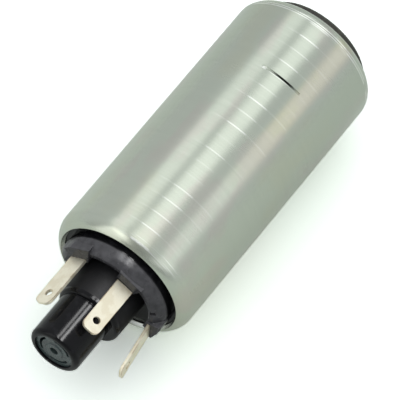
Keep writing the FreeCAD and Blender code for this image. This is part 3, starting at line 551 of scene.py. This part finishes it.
    def lines_and_highlights(self, surface: Surface) -> Node:
        """Draw the rolling tool's lines at the front bend, and the painted highlights at the rear
        bend and on the front lip.

        Args:
            surface: What the finish is drawn from.

        Returns:
            Their strength.
        """
        tree = surface.tree
        # The rear bend's two lines and the lip's rim are painted highlights; the front shoulder's
        # lines are tool marks.
        first, second = (surface.within(surface.along, bend, MM) for bend in self.rear_highlight_mm)
        rear = add(tree, "Math", {0: first, 1: second}, operation="ADD")
        zone = add(tree, "Math", {0: surface.within(surface.along, self.shoulder_mm, MM),
                                  1: surface.within(surface.clock(), self.shoulder_clock)},
                   operation="MULTIPLY")
        front = add(tree, "Math", {0: surface.patches(self.shoulder_lines), 1: zone},
                    operation="MULTIPLY")
        both = add(tree, "Math", {0: rear, 1: front}, operation="ADD")
        drawn = add(tree, "Math", {0: both, 1: surface.patches(self.line_break)},
                    operation="MULTIPLY")
        # Painted highlight along the front lip's rim.
        lip = add(tree, "Math", {0: surface.within(surface.radius(), self.lip_highlight_mm, MM),
                                 1: surface.within(surface.along, self.lip_along_mm, MM)},
                  operation="MULTIPLY")
        return add(tree, "Math", {0: drawn, 1: lip}, operation="MAXIMUM")

    def stakes(self, surface: Surface) -> tuple[Node, Node]:
        """Find the painted shade and the painted highlight of the staked grooves.

        Args:
            surface: What the finish is drawn from.

        Returns:
            Masks of each groove's painted shade and of the painted highlight at its start.
        """
        tree = surface.tree
        past = add(tree, "Math", {0: surface.clock(), 1: self.stake_clock}, operation="SUBTRACT")
        turn = add(tree, "Math", {0: past, 1: self.stake_apart}, operation="FLOORED_MODULO")
        start, full = self.stake_depth_mm
        deep = add(tree, "MapRange", {
            "Value": surface.radius(), "From Min": start * MM, "From Max": full * MM})
        inside = add(tree, "Math", {0: surface.within(surface.along, self.stake_mm, MM), 1: deep},
                     operation="MULTIPLY")
        dark = add(tree, "Math", {0: inside, 1: surface.within(turn, self.groove_shade_clock)},
                   operation="MULTIPLY")
        bright = add(tree, "Math", {0: surface.within(surface.along, self.groove_highlight_mm, MM),
                                    1: surface.within(turn, self.groove_highlight_clock)},
                     operation="MULTIPLY")
        return dark, bright

    def tint(self, surface: Surface) -> Node:
        """Mix the plating's colour with its tints, rings and tool lines, the painted highlights on
        the rings, rear bend, lip and grooves, and the painted shade in the staked grooves.

        Args:
            surface: What the finish is drawn from.

        Returns:
            The colour.
        """
        tree = surface.tree
        start, full = self.straw_mm
        rear = add(tree, "MapRange", {
            "Value": surface.along, "From Min": start * MM, "From Max": full * MM},
            interpolation_type="SMOOTHSTEP")
        swath = add(tree, "Math", {0: surface.within(surface.clock(), self.straw_clock), 1: rear},
                    operation="MULTIPLY")
        share = add(tree, "Math", {0: swath, 1: surface.patches(self.straw_cloud)},
                    operation="MAXIMUM")
        base = add(tree, "Mix", {0: share, 6: self.colour, 7: self.straw}, data_type="RGBA")
        base = add(tree, "Mix", {0: surface.patches(self.rose_cloud), 6: base, 7: self.rose},
                   data_type="RGBA")
        start, full = self.film_mm
        film = add(tree, "MapRange", {"Value": surface.along, "From Min": start * MM,
                                      "From Max": full * MM, "To Max": self.film})
        base = add(tree, "Mix", {0: film, 6: base, 7: self.worn}, data_type="RGBA")
        streak = add(tree, "MapRange", {
            "Value": self.marks(surface), "From Min": NOISE_MIDDLE[0],
            "From Max": NOISE_MIDDLE[1], "To Max": self.mark_share})
        base = add(tree, "Mix", {0: streak, 6: base, 7: self.worn}, data_type="RGBA")
        # Painted shade in the staked grooves; painted highlights on the rings, rear bend, lip and
        # grooves' starts.
        dark, bright = self.stakes(surface)
        lines = add(tree, "Math", {0: self.lines_and_highlights(surface), 1: self.line_share},
                    operation="MULTIPLY")
        # One light colour for worn-bright marks and for the painted highlights.
        rubbed_and_highlight = add(tree, "Math", {0: self.rings(surface), 1: self.ring_share, 2: lines},
                     operation="MULTIPLY_ADD", use_clamp=True)
        rubbed_and_highlight = add(tree, "Math", {0: rubbed_and_highlight, 1: bright}, operation="MAXIMUM")
        base = add(tree, "Mix", {0: rubbed_and_highlight, 6: base, 7: self.fresh_and_highlight}, data_type="RGBA")
        return add(tree, "Mix", {0: dark, 6: base, 7: self.groove_shade}, data_type="RGBA")

    def gloss(self, surface: Surface) -> Node:
        """Vary the roughness in clouds and with the lathe's fine lines.

        Args:
            surface: What the finish is drawn from.

        Returns:
            The roughness.
        """
        least, most = self.spread
        cloud = add(surface.tree, "MapRange", {
            "Value": surface.grain(self.cloud), "From Min": NOISE[0], "From Max": NOISE[1],
            "To Min": self.roughness * least, "To Max": self.roughness * most})
        fine = add(surface.tree, "Math", {
            0: self.marks(surface), 1: self.fine, 2: -self.fine / 2}, operation="MULTIPLY_ADD")
        return add(surface.tree, "Math", {0: cloud, 1: fine}, operation="ADD")


@dataclass(frozen=True)
class CapNylon(Finish):
    """Black glass-filled nylon as moulded, with its ring made greyer by scuffs and by a painted
    sheen.

    Attributes:
        dull: Roughness of the ring.
        dull_spread: How far that roughness varies both ways.
        dull_grain: Grain of that variation.
        etched: Roughness of the boss, where the tool was spark eroded.
        scuff_and_sheen: Colour of the ring's scuffs and painted sheen as sRGB hex.
        scuff_and_sheen_least: Least strength of the scuffs and painted sheen on the ring.
        scuff_and_sheen_grain: Grain of the scuffs and painted sheen.
        ring_mm: Distances from the pump's axis at which the ring lies. Nearer to it the
            surface shines.
        crest_mm: Places along X of the ring's crest. The wall below it shines too.
        boss_mm: Places along X of the etched boss.
    """

    dull: float = 0.24
    dull_spread: float = 0.06
    dull_grain: Grain = Grain(1.6)
    etched: float = 0.55
    # Painted sheen: the ring's lighter grey stands in partly for its reflection; the rest is
    # scuffs.
    scuff_and_sheen: str = "323234"
    scuff_and_sheen_least: float = 0.55
    scuff_and_sheen_grain: Grain = Grain(1.8, detail=4.0)
    ring_mm: Span = Span(10.6, FAR_MM, 0.5)
    crest_mm: Span = Span(LIP_MM + 1.2, FAR_MM, 0.3)
    boss_mm: Span = Span(LIP_MM + 1.2, LIP_MM + 11.5, 0.2)

    def outside(self, surface: Surface) -> Node:
        """Find the ring.

        Args:
            surface: What the finish is drawn from.

        Returns:
            One on the ring's crest, zero on its wall, the boss and the nozzle.
        """
        ring = surface.within(surface.radius(), self.ring_mm, MM)
        crest = surface.within(surface.along, self.crest_mm, MM)
        return add(surface.tree, "Math", {0: ring, 1: crest}, operation="MULTIPLY")

    def tint(self, surface: Surface) -> Node:
        """Make the black greyer on the ring, with scuffs and a painted sheen.

        Args:
            surface: What the finish is drawn from.

        Returns:
            The colour.
        """
        tree = surface.tree
        plain = super().tint(surface)
        uneven = add(tree, "MapRange", {
            "Value": surface.grain(self.scuff_and_sheen_grain), "From Min": NOISE[0], "From Max": NOISE[1],
            "To Min": self.scuff_and_sheen_least})
        # Scuffs and painted sheen on the ring.
        share = add(tree, "Math", {0: uneven, 1: self.outside(surface)}, operation="MULTIPLY")
        return add(tree, "Mix", {0: share, 6: plain, 7: self.scuff_and_sheen}, data_type="RGBA")

    def gloss(self, surface: Surface) -> Node:
        """Part the polished nozzle, the etched boss and the dull ring.

        Args:
            surface: What the finish is drawn from.

        Returns:
            The roughness.
        """
        tree = surface.tree
        uneven = add(tree, "MapRange", {
            "Value": surface.grain(self.dull_grain), "From Min": NOISE[0], "From Max": NOISE[1],
            "To Min": self.dull - self.dull_spread, "To Max": self.dull + self.dull_spread})
        boss = surface.within(surface.along, self.boss_mm, MM)
        inner = add(tree, "Mix", {0: boss, 2: super().gloss(surface), 3: self.etched})
        return add(tree, "Mix", {0: self.outside(surface), 2: inner, 3: uneven})


# Plated mild steel, polished in a lathe and rolled in at both ends: a satin grey-green
# mirror, drawn into stripes along the tube, with the wheel's rings round it. The rings, the
# rear bend, the lip and each groove's start carry painted highlights, and the staked grooves
# painted shade. The polish's own lines are under 0.1 mm apart, too fine to show, so they are
# drawn 0.45 mm apart.
STEEL = RolledCaseSteel("nickel_plated_steel_rolled", "BEC4B6", "8F9A90", "D5D9D0", metallic=1.0,
                        roughness=0.25, lay=Lay.ROUND, grain_mm=0.45, relief_mm=0.0004)
# Glass-filled nylon, injection moulded in a polished tool: deep black with a wet shine on
# the boss and nozzle, and a dull ring where the case was rolled over it, made greyer by
# scuffs and by a painted sheen.
NYLON = CapNylon("glass_filled_nylon_moulded", "050506", "0A0A0C", "161618", roughness=0.15,
                 ior=1.53, specular=0.15, wear=0.25, patch_mm=1.8, grain_mm=0.8,
                 relief_mm=0.002, round_mm=0.2)
# Brass strip, stamped and dipped in tin: warm ivory, with brown where the shear left the
# edges bare.
TIN = Finish("tinned_brass_stamped", "F8F2DE", "EFE7D0", "9C7644", metallic=1.0, roughness=0.52,
             wear=0.5, relief_mm=0.004, round_mm=0.08)
# Phenolic resin, compression moulded: a flat greenish charcoal with a chalky skin.
COVER_RESIN = Finish("phenolic_resin_moulded", "2C2B23", "3C3B31", "4A4A3E", roughness=0.55,
                     ior=1.55, specular=0.4, wear=0.4, patch_mm=2.0)
# Acetal, injection moulded: a milky slate grey, a little see-through at its skin.
ACETAL = Finish("acetal_moulded", "3C4847", "2C3536", "4C5856", roughness=0.28, ior=1.48, wear=0.5,
                patch_mm=1.2)
# Nitrile rubber, moulded: matt black with a dusty bloom.
RUBBER = Finish("nitrile_rubber_moulded", "161616", "242422", "2A2A28", roughness=0.6, ior=1.52)
# Music wire, cold drawn: a grey shine along the wire.
SPRING = Finish("music_wire_drawn", "A7A9A8", "6F6F6C", "B8BAB9", metallic=1.0, roughness=0.3,
                lay=Lay.ALONG)
# Bearing steel, hardened and ground: bright, with lines round it. Real ones are a few
# thousandths of a millimetre wide, so they are drawn 0.12 mm apart.
GROUND = Finish("hardened_steel_ground", "C3C5C4", "8E908F", "D0D2D1", metallic=1.0, roughness=0.18,
                lay=Lay.ROUND, grain_mm=0.12, relief_mm=0.002)
# Bronze powder, sintered and soaked in oil: brown gold with dark pores. Real pores are
# under 0.05 mm, too fine to show, so they are drawn 0.12 mm apart.
BRONZE = Finish("tin_bronze_sintered", "A9824F", "7A5B34", "C09A62", metallic=1.0, roughness=0.5,
                wear=0.3, patch_mm=0.35, grain_mm=0.12, relief_mm=0.02)
# Iron powder with copper, sintered and lapped: a dull warm grey, speckled with pores that
# are drawn as coarse as the bronze's.
SINTERED = Finish("iron_copper_sintered", "77766F", "5F5D57", "8C8B84", metallic=1.0,
                  roughness=0.42, wear=0.3, patch_mm=0.35, grain_mm=0.12, relief_mm=0.015)
# Copper wire in clear enamel: red brown under a glassy skin.
ENAMELLED = Finish("copper_wire_enamelled", "B4572C", "8A3A1C", "C06434", metallic=1.0,
                   roughness=0.26, wear=0.4, patch_mm=1.5, coat=0.6)
# Commutator copper, faced in a lathe: pink, with fine turning lines.
SEGMENTS = Finish("commutator_copper_turned", "C07D58", "8E5437", "D09070", metallic=1.0,
                  roughness=0.3, lay=Lay.ROUND, grain_mm=0.15, relief_mm=0.003)
# Phenolic resin with mineral filler, moulded: red brown and half matt.
PHENOLIC = Finish("phenolic_resin_filled", "4A2B1C", "2F1B12", "5A3826", roughness=0.45, ior=1.58,
                  wear=0.5)
# Silicon steel sheets, stamped and stacked: grey, with a line at each sheet. A real sheet
# is 0.5 mm thick, which is drawn as it is.
LAMINATION = Finish("silicon_steel_stacked", "6E7072", "636567", "888A8C", metallic=1.0,
                    roughness=0.4, lay=Lay.ROUND, grain_mm=0.5, relief_mm=0.03)
# Strontium ferrite, pressed, fired and ground: charcoal with a faint ceramic shine.
FERRITE = Finish("strontium_ferrite_ground", "2B2C2F", "3D3E42", "4A4B50", roughness=0.48, ior=2.2,
                 wear=0.4, patch_mm=1.5, grain_mm=0.2)
# Copper graphite, pressed and baked: dark grey with a brown glitter.
CARBON = Finish("copper_graphite_pressed", "3B3634", "574A40", "5E4C3E", roughness=0.55, ior=1.9,
                wear=0.5, patch_mm=0.5, grain_mm=0.15)
# Zinc-plated steel sheet, rolled to a tube: pale grey with soft cloudy patches.
ZINC = Finish("zinc_plated_steel_rolled", "B9BBB4", "94968C", "C8CAC4", metallic=1.0,
              roughness=0.34, lay=Lay.ALONG, patch_mm=8.0)
# Aluminium, die cast and shot blasted: a soft light grey with an even fine grain.
ALUMINIUM = Finish("aluminium_die_cast", "A4A6A6", "7C7E7E", "BABCBC", metallic=1.0, roughness=0.44,
                   wear=0.5, patch_mm=2.0, grain_mm=0.4, relief_mm=0.012)


@dataclass
class SubAssembly:
    """A group of pieces that are dressed together."""

    def finishes(self) -> dict[Finish, tuple[str, ...]]:
        """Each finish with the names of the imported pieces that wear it."""
        return {}

    def build(self, frame: dict) -> None:
        """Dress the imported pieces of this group.

        Args:
            frame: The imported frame.
        """
        for finish, names in self.finishes().items():
            for name in names:
                for place in frame["nodes"][name].material_slots:
                    place.material = finish.material()
                LOG.info("%s wears %s", name, finish.name)


@dataclass
class Housing(SubAssembly):
    """Rolled case, outlet cap with blades and seal, inlet cover and all that is fixed inside."""

    def finishes(self) -> dict[Finish, tuple[str, ...]]:
        """Finishes of what is fixed in the case.

        Returns:
            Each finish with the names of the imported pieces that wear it.
        """
        return {
            STEEL: ("case",),
            NYLON: ("outlet_cap",),
            TIN: ("terminal_left", "terminal_middle", "terminal_right"),
            COVER_RESIN: ("inlet_cover",),
            RUBBER: ("cap_seal",),
            ACETAL: ("check_valve_guide",),
            ZINC: ("flux_sleeve",),
            FERRITE: ("magnet_a", "magnet_b", "choke_a", "choke_b"),
            SPRING: ("magnet_clip_a", "magnet_clip_b"),
            BRONZE: ("front_bush", "rear_bush"),
            ALUMINIUM: ("outlet_plate",),
            GROUND: ("dowel_a", "dowel_b", "thrust_button", "relief_valve_plug"),
            SINTERED: ("rotor_ring",),
        }


@dataclass
class Valves(SubAssembly):
    """Check valve in the nozzle and relief valve beside the boss."""

    def finishes(self) -> dict[Finish, tuple[str, ...]]:
        """Finishes of the moving pieces of both valves.

        Returns:
            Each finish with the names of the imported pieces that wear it.
        """
        return {
            ACETAL: ("check_valve_poppet",),
            RUBBER: ("check_valve_seal",),
            SPRING: ("check_valve_spring", "relief_valve_spring"),
            GROUND: ("relief_valve_ball",),
        }


@dataclass
class Winding:
    """Enamelled wire, wound through the core's slots and round both of its faces.

    Attributes:
        front_mm: Front face of the core along X.
        rear_mm: Rear face of the core along X.
        slots: Slots of the core, with one coil starting in each.
        throw: Slots that a coil spans.
        slot_mm: Radius of the slots' middle.
        spread_mm: How far wires lie from a slot's middle.
        strands: Wires drawn for each coil. The real coil has about three times as many
            of half the thickness, too fine to show.
        golden: Turn in radians from one strand to the next round a slot's middle, which
            spreads them evenly.
        skip: Slots from the start of one coil to that of the coil laid on it.
        wire_mm: Wire's radius.
        rise_mm: Height of the lowest and highest wire over the core's face.
        waist_mm: Least and greatest radius at which wires pass the shaft.
        foot: Share of its height over the face that a wire has where it leaves a slot.
        crown_points: Points of a wire over one face.
    """

    front_mm: float = 3.05
    rear_mm: float = -20.45
    slots: int = 8
    throw: int = 3
    slot_mm: float = 8.3
    spread_mm: float = 1.7
    strands: int = 12
    golden: float = 2.399
    skip: int = 3
    wire_mm: float = 0.25
    rise_mm: tuple[float, float] = (0.7, 4.5)
    waist_mm: tuple[float, float] = (3.0, 6.8)
    foot: float = 0.35
    crown_points: int = 8

    def build(self) -> bpy.types.Object:
        """Wind all coils into one piece.

        Returns:
            The wound piece.
        """
        data = bpy.data.curves.new("armature_wire", "CURVE")
        data.dimensions = "3D"
        data.bevel_depth = self.wire_mm * MM
        data.bevel_resolution = 1
        data.resolution_u = 3
        for coil in range(self.slots):
            for strand in range(self.strands):
                points = self.turn(coil, strand)
                line = data.splines.new("NURBS")
                line.points.add(len(points) - 1)
                for knot, point in zip(line.points, points):
                    knot.co = (*(point * MM), 1.0)
                line.use_cyclic_u = True
                line.order_u = 3
        piece = bpy.data.objects.new("armature_wire", data)
        bpy.context.scene.collection.objects.link(piece)
        data.materials.append(ENAMELLED.material())
        return piece

    def turn(self, coil: int, strand: int) -> list[Vector]:
        """Points of one closed turn of wire, in millimetres.

        Args:
            coil: Number of the coil, which is also its first slot.
            strand: Number of the wire in the coil.

        Returns:
            Points through one slot, over the front face, through the other slot and
            back over the rear face.
        """
        share = (strand + 0.5) / self.strands
        turned = strand * self.golden
        depth = self.slot_mm + self.spread_mm * math.sqrt(share) * math.cos(turned)
        aside = math.degrees(self.spread_mm * math.sqrt(share) * math.sin(turned) / self.slot_mm)
        first = coil * 360 / self.slots + aside
        last = (coil + self.throw) * 360 / self.slots + aside
        layer = (coil * self.skip % self.slots + share) / self.slots
        rise = self.rise_mm[0] + layer * (self.rise_mm[1] - self.rise_mm[0])
        waist = self.waist_mm[0] + share * (self.waist_mm[1] - self.waist_mm[0])
        points = [self.point(first, depth, self.rear_mm), self.point(first, depth, self.front_mm)]
        points += self.crown(first, last, depth, waist, self.front_mm, rise)
        points += [self.point(last, depth, self.front_mm), self.point(last, depth, self.rear_mm)]
        points += self.crown(last, first, depth, waist, self.rear_mm, -rise)
        return points

    def crown(self, start: float, end: float, depth: float, waist: float, face: float,
              rise: float) -> list[Vector]:
        """Points of a wire over one face of the core.

        Args:
            start: Clock angle where it leaves a slot.
            end: Clock angle where it enters the other slot.
            depth: Radius at which it leaves and enters.
            waist: Radius at which it passes the shaft.
            face: Place of the face along X.
            rise: Height over the face, negative at the rear.

        Returns:
            The points in order.
        """
        points = []
        for step in range(self.crown_points):
            share = step / (self.crown_points - 1)
            bow = math.sin(math.pi * share)
            radius = depth + (waist - depth) * bow
            along = face + rise * (self.foot + (1 - self.foot) * bow ** 0.5)
            points.append(self.point(start + (end - start) * share, radius, along))
        return points

    def point(self, clock: float, radius: float, along: float) -> Vector:
        """A point in millimetres at a clock angle, radius and place along X."""
        angle = math.radians(clock)
        return Vector((along, radius * math.sin(angle), AXIS_MM + radius * math.cos(angle)))


@dataclass
class Rotor(SubAssembly):
    """Armature on its shaft with commutator and brushes, and the pump's two rotors.

    Attributes:
        winding: The armature's wire.
    """

    winding: Winding = field(default_factory=Winding)

    def finishes(self) -> dict[Finish, tuple[str, ...]]:
        """Finishes of what turns or rubs on it.

        Returns:
            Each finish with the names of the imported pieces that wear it.
        """
        return {
            LAMINATION: ("armature_core",),
            ENAMELLED: ("armature_windings",),
            SEGMENTS: ("commutator_segments",),
            PHENOLIC: ("commutator_hub",),
            GROUND: ("shaft",),
            SPRING: ("brush_spring_a", "brush_spring_b"),
            CARBON: ("brush_a", "brush_b"),
            SINTERED: ("inner_rotor", "outer_rotor"),
            COVER_RESIN: ("thrust_washer",),
        }

    def build(self, frame: dict) -> None:
        """Dress the rotor and put the wound wire in place of its plain solid.

        Args:
            frame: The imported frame.
        """
        super().build(frame)
        wire = self.winding.build()
        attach(wire, "rotor")
        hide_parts("armature_windings")
        LOG.info("%s wound", wire.name)


@dataclass
class Springs(SubAssembly):
    """Coil springs that a valve or brush presses together along the pump's axis.

    Attributes:
        crease_degrees: Angle between faces from which an edge of the wire stays sharp.
        merge_mm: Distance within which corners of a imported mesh's triangles are one.
    """

    crease_degrees: float = 40.0
    merge_mm: float = 0.001

    def build(self, frame: dict) -> None:
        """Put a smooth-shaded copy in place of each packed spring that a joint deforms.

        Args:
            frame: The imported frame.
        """
        for joint in frame["joints"]:
            for row in joint.get("deforming_nodes", ()):
                self.coil(frame["nodes"][row["node"]], joint, row["fixed_end_x_m"])

    def coil(self, packed: bpy.types.Object, joint: dict, fixed: float) -> None:
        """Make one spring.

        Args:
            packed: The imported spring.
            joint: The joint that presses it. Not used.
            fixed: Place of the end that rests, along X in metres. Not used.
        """
        form = bmesh.new()
        form.from_mesh(packed.data)
        bmesh.ops.remove_doubles(form, verts=form.verts, dist=self.merge_mm * MM)
        mesh = bpy.data.meshes.new(f"{packed.name}_coil")
        form.to_mesh(mesh)
        form.free()
        if "custom_normal" in mesh.attributes:
            mesh.attributes.remove(mesh.attributes["custom_normal"])
        mesh.set_sharp_from_angle(angle=math.radians(self.crease_degrees))
        mesh.materials.append(SPRING.material())
        piece = bpy.data.objects.new(mesh.name, mesh)
        bpy.context.scene.collection.objects.link(piece)
        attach(piece, "housing")
        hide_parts(packed.name)
        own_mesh(piece)


class Lit(Enum):
    """What a lamp lights. The room lights the floor."""

    PUMP = "every piece"
    CAP = "the outlet cap"
    REST = "every piece but the outlet cap"


@dataclass
class Softbox:
    """A soft lamp that faces the pump from a distance.

    Attributes:
        name: Lamp's name.
        away: Share of its direction along the pump's axis.
        clock: Its direction round that axis, in degrees from straight up towards +Y.
        wide: Level width in metres.
        high: Height in metres.
        radiance: Brightness of its face, where one is white.
        lit: What it lights.
        reach: Distance from the pump's axis in metres.
        shift: Shift of its middle along the pump, towards the outlet, in metres.
    """

    name: str
    away: float
    clock: float
    wide: float
    high: float
    radiance: float
    lit: Lit = Lit.REST
    reach: float = 0.62
    shift: float = 0.0

    def hang(self, frame: dict) -> None:
        """Put the lamp in the scene.

        Args:
            frame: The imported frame.
        """
        data = bpy.data.lights.new(self.name, "AREA")
        data.shape = "RECTANGLE"
        data.size = self.wide
        data.size_y = self.high
        data.energy = self.radiance * math.pi * self.wide * self.high
        angle = math.radians(self.clock)
        across = math.sqrt(1 - self.away ** 2)
        back = Vector((self.away, math.sin(angle) * across, math.cos(angle) * across))
        lamp = bpy.data.objects.new(self.name, data)
        place = Vector((self.shift, 0, AXIS_MM * MM)) + back * self.reach
        lamp.matrix_world = (Matrix.Translation(place)
                             @ back.to_track_quat("Z", "Y").to_matrix().to_4x4())
        bpy.context.scene.collection.objects.link(lamp)
        lit = bpy.data.collections.new(self.name)
        for name, piece in frame["nodes"].items():
            if self.lit is Lit.PUMP or (name == "outlet_cap") == (self.lit is Lit.CAP):
                lit.objects.link(piece)
        lamp.light_linking.receiver_collection = lit


@dataclass
class Studio:
    """Pale floor, soft lamps and the camera.

    Attributes:
        right: Direction to the camera's right.
        up: Direction towards the top of its picture.
        aim_mm: Point of the pump's axis that the camera was fitted about.
        across_mm: Camera's shift to the right of that point.
        up_mm: Its shift upwards.
        distance_mm: Its distance from that point.
        focal_pixels: Focal length in pixels of the 400 pixel frame.
        sensor_mm: Sensor's width.
        clip: Distance in metres that the camera sees to.
        world_level: Brightness of the room.
        front_level: Share of it that is left at the room's front, towards +X.
        front: Share of a direction along X at which the room starts to darken, and that at
            which it is darkest.
        room_colour: Colour of the room's light as sRGB hex.
        floor_half: Half of the floor's side in metres.
        paper: Colour of the floor as sRGB hex.
        paper_roughness: The floor's roughness.
        floor_extra: Light that the camera sees the floor throw back on top of its own, so
            that it is over-exposed to white where nothing shades it.
        floor_mirrored: Such light that the pump's metal mirrors.
        floor_tint: Colour of that light as sRGB hex.
        lamps: The lamps.
    """

    right: tuple[float, float, float] = (-0.5676, 0.8234, 0.0)
    up: tuple[float, float, float] = (-0.6785, -0.4678, 0.5664)
    aim_mm: tuple[float, float, float] = (LIP_MM, 0.0, AXIS_MM)
    across_mm: float = 19.77
    up_mm: float = 19.26
    distance_mm: float = 1126.0
    focal_pixels: float = 4676.3
    sensor_mm: float = 36.0
    clip: float = 20.0
    world_level: float = 0.76
    front_level: float = 0.5
    front: tuple[float, float] = (0.25, 0.95)
    room_colour: str = "F8FCFF"
    floor_half: float = 3.0
    paper: str = "DCDFD9"
    paper_roughness: float = 0.9
    floor_extra: float = 1.3
    floor_mirrored: float = 0.38
    floor_tint: str = "FAFEF7"
    # Each lamp's name, away, clock, wide, high and radiance, and then what it lights.
    lamps: tuple[Softbox, ...] = (
        Softbox("strip_over_left", 0.0, -25.0, 3.6, 0.26, 0.66),
        Softbox("strip_over_right", 0.0, 10.0, 1.7, 0.27, 0.86, shift=-0.45),
        Softbox("strip_right", 0.0, 58.0, 3.8, 0.26, 0.5),
        Softbox("front_left", 0.8, -48.0, 0.56, 1.0, 1.0, Lit.PUMP, reach=1.1),
        Softbox("tube_left", 0.0, -0.5, 1.3, 0.1, 14.5, Lit.CAP),
        Softbox("tube_right", 0.0, 16.4, 1.3, 0.1, 23.0, Lit.CAP),
    )

    def build(self, frame: dict) -> None:
        """Set up camera, lamps, world and floor.

        Args:
            frame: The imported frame.
        """
        self.camera()
        self.room()
        self.floor()
        for lamp in self.lamps:
            lamp.hang(frame)

    def camera(self) -> None:
        """Place the camera where the photograph was taken from."""
        right = Vector(self.right)
        up = Vector(self.up)
        back = right.cross(up)
        place = Vector(self.aim_mm) + right * self.across_mm + up * self.up_mm
        place += back * self.distance_mm
        data = bpy.data.cameras.new("studio_camera")
        data.sensor_width = self.sensor_mm
        data.lens = self.sensor_mm * self.focal_pixels / IMAGE_PIXELS
        data.clip_end = self.clip
        camera = bpy.data.objects.new("studio_camera", data)
        turn = Matrix((right, up, back)).transposed().to_4x4()
        camera.matrix_world = Matrix.Translation(place * MM) @ turn
        bpy.context.scene.collection.objects.link(camera)
        bpy.context.scene.camera = camera

    def room(self) -> None:
        """Make the room: pale, darker towards +X, and white where the camera sees it."""
        world = bpy.data.worlds.new("studio")
        world.use_nodes = True
        tree = world.node_tree
        path = add(tree, "LightPath")
        direction = add(tree, "TexCoord").outputs["Generated"]
        ahead = add(tree, "SeparateXYZ", {0: direction}).outputs[0]
        start, full = self.front
        room = add(tree, "MapRange", {
            "Value": ahead, "From Min": start, "From Max": full, "To Min": self.world_level,
            "To Max": self.world_level * self.front_level}, interpolation_type="SMOOTHSTEP")
        level = add(tree, "Mix", {0: path.outputs["Is Camera Ray"], 2: room, 3: 1.0})
        air = add(tree, "Mix", {
            0: path.outputs["Is Camera Ray"], 6: self.room_colour, 7: "FFFFFF"},
            data_type="RGBA")
        tree.links.new(level.outputs[0], tree.nodes["Background"].inputs["Strength"])
        tree.links.new(air.outputs[2], tree.nodes["Background"].inputs["Color"])
        bpy.context.scene.world = world

    def floor(self) -> None:
        """Lay the pale floor. The camera sees it over-exposed to white, with its shadows."""
        form = bmesh.new()
        bmesh.ops.create_grid(form, x_segments=1, y_segments=1, size=self.floor_half)
        mesh = bpy.data.meshes.new("floor")
        form.to_mesh(mesh)
        form.free()
        floor = bpy.data.objects.new("floor", mesh)
        bpy.context.scene.collection.objects.link(floor)
        made = bpy.data.materials.new("studio_paper")
        made.use_nodes = True
        tree = made.node_tree
        shader = tree.nodes["Principled BSDF"]
        shader.inputs["Roughness"].default_value = self.paper_roughness
        shader.inputs["Base Color"].default_value = linear(self.paper)
        path = add(tree, "LightPath").outputs
        mirrored = add(tree, "Math", {0: path["Is Glossy Ray"], 1: self.floor_mirrored},
                       operation="MULTIPLY")
        extra = add(tree, "Mix", {0: path["Is Camera Ray"], 2: mirrored, 3: self.floor_extra})
        tinted = add(tree, "VectorMath", {0: linear(self.floor_tint)[:3], "Scale": extra},
                     operation="SCALE")
        thrown = add(tree, "BsdfDiffuse", {"Color": tinted})
        both = add(tree, "AddShader", {0: shader.outputs[0], 1: thrown})
        tree.links.new(both.outputs[0], tree.nodes["Material Output"].inputs["Surface"])
        mesh.materials.append(made)


def main() -> None:
    """Build the scene around the frame."""
    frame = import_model()
    for group in (Housing(), Valves(), Rotor(), Springs()):
        group.build(frame)
    Studio().build(frame)
    bpy.context.scene.view_settings.view_transform = "Standard"


if __name__ == "__main__":
    logging.basicConfig(level=logging.INFO)
    main()
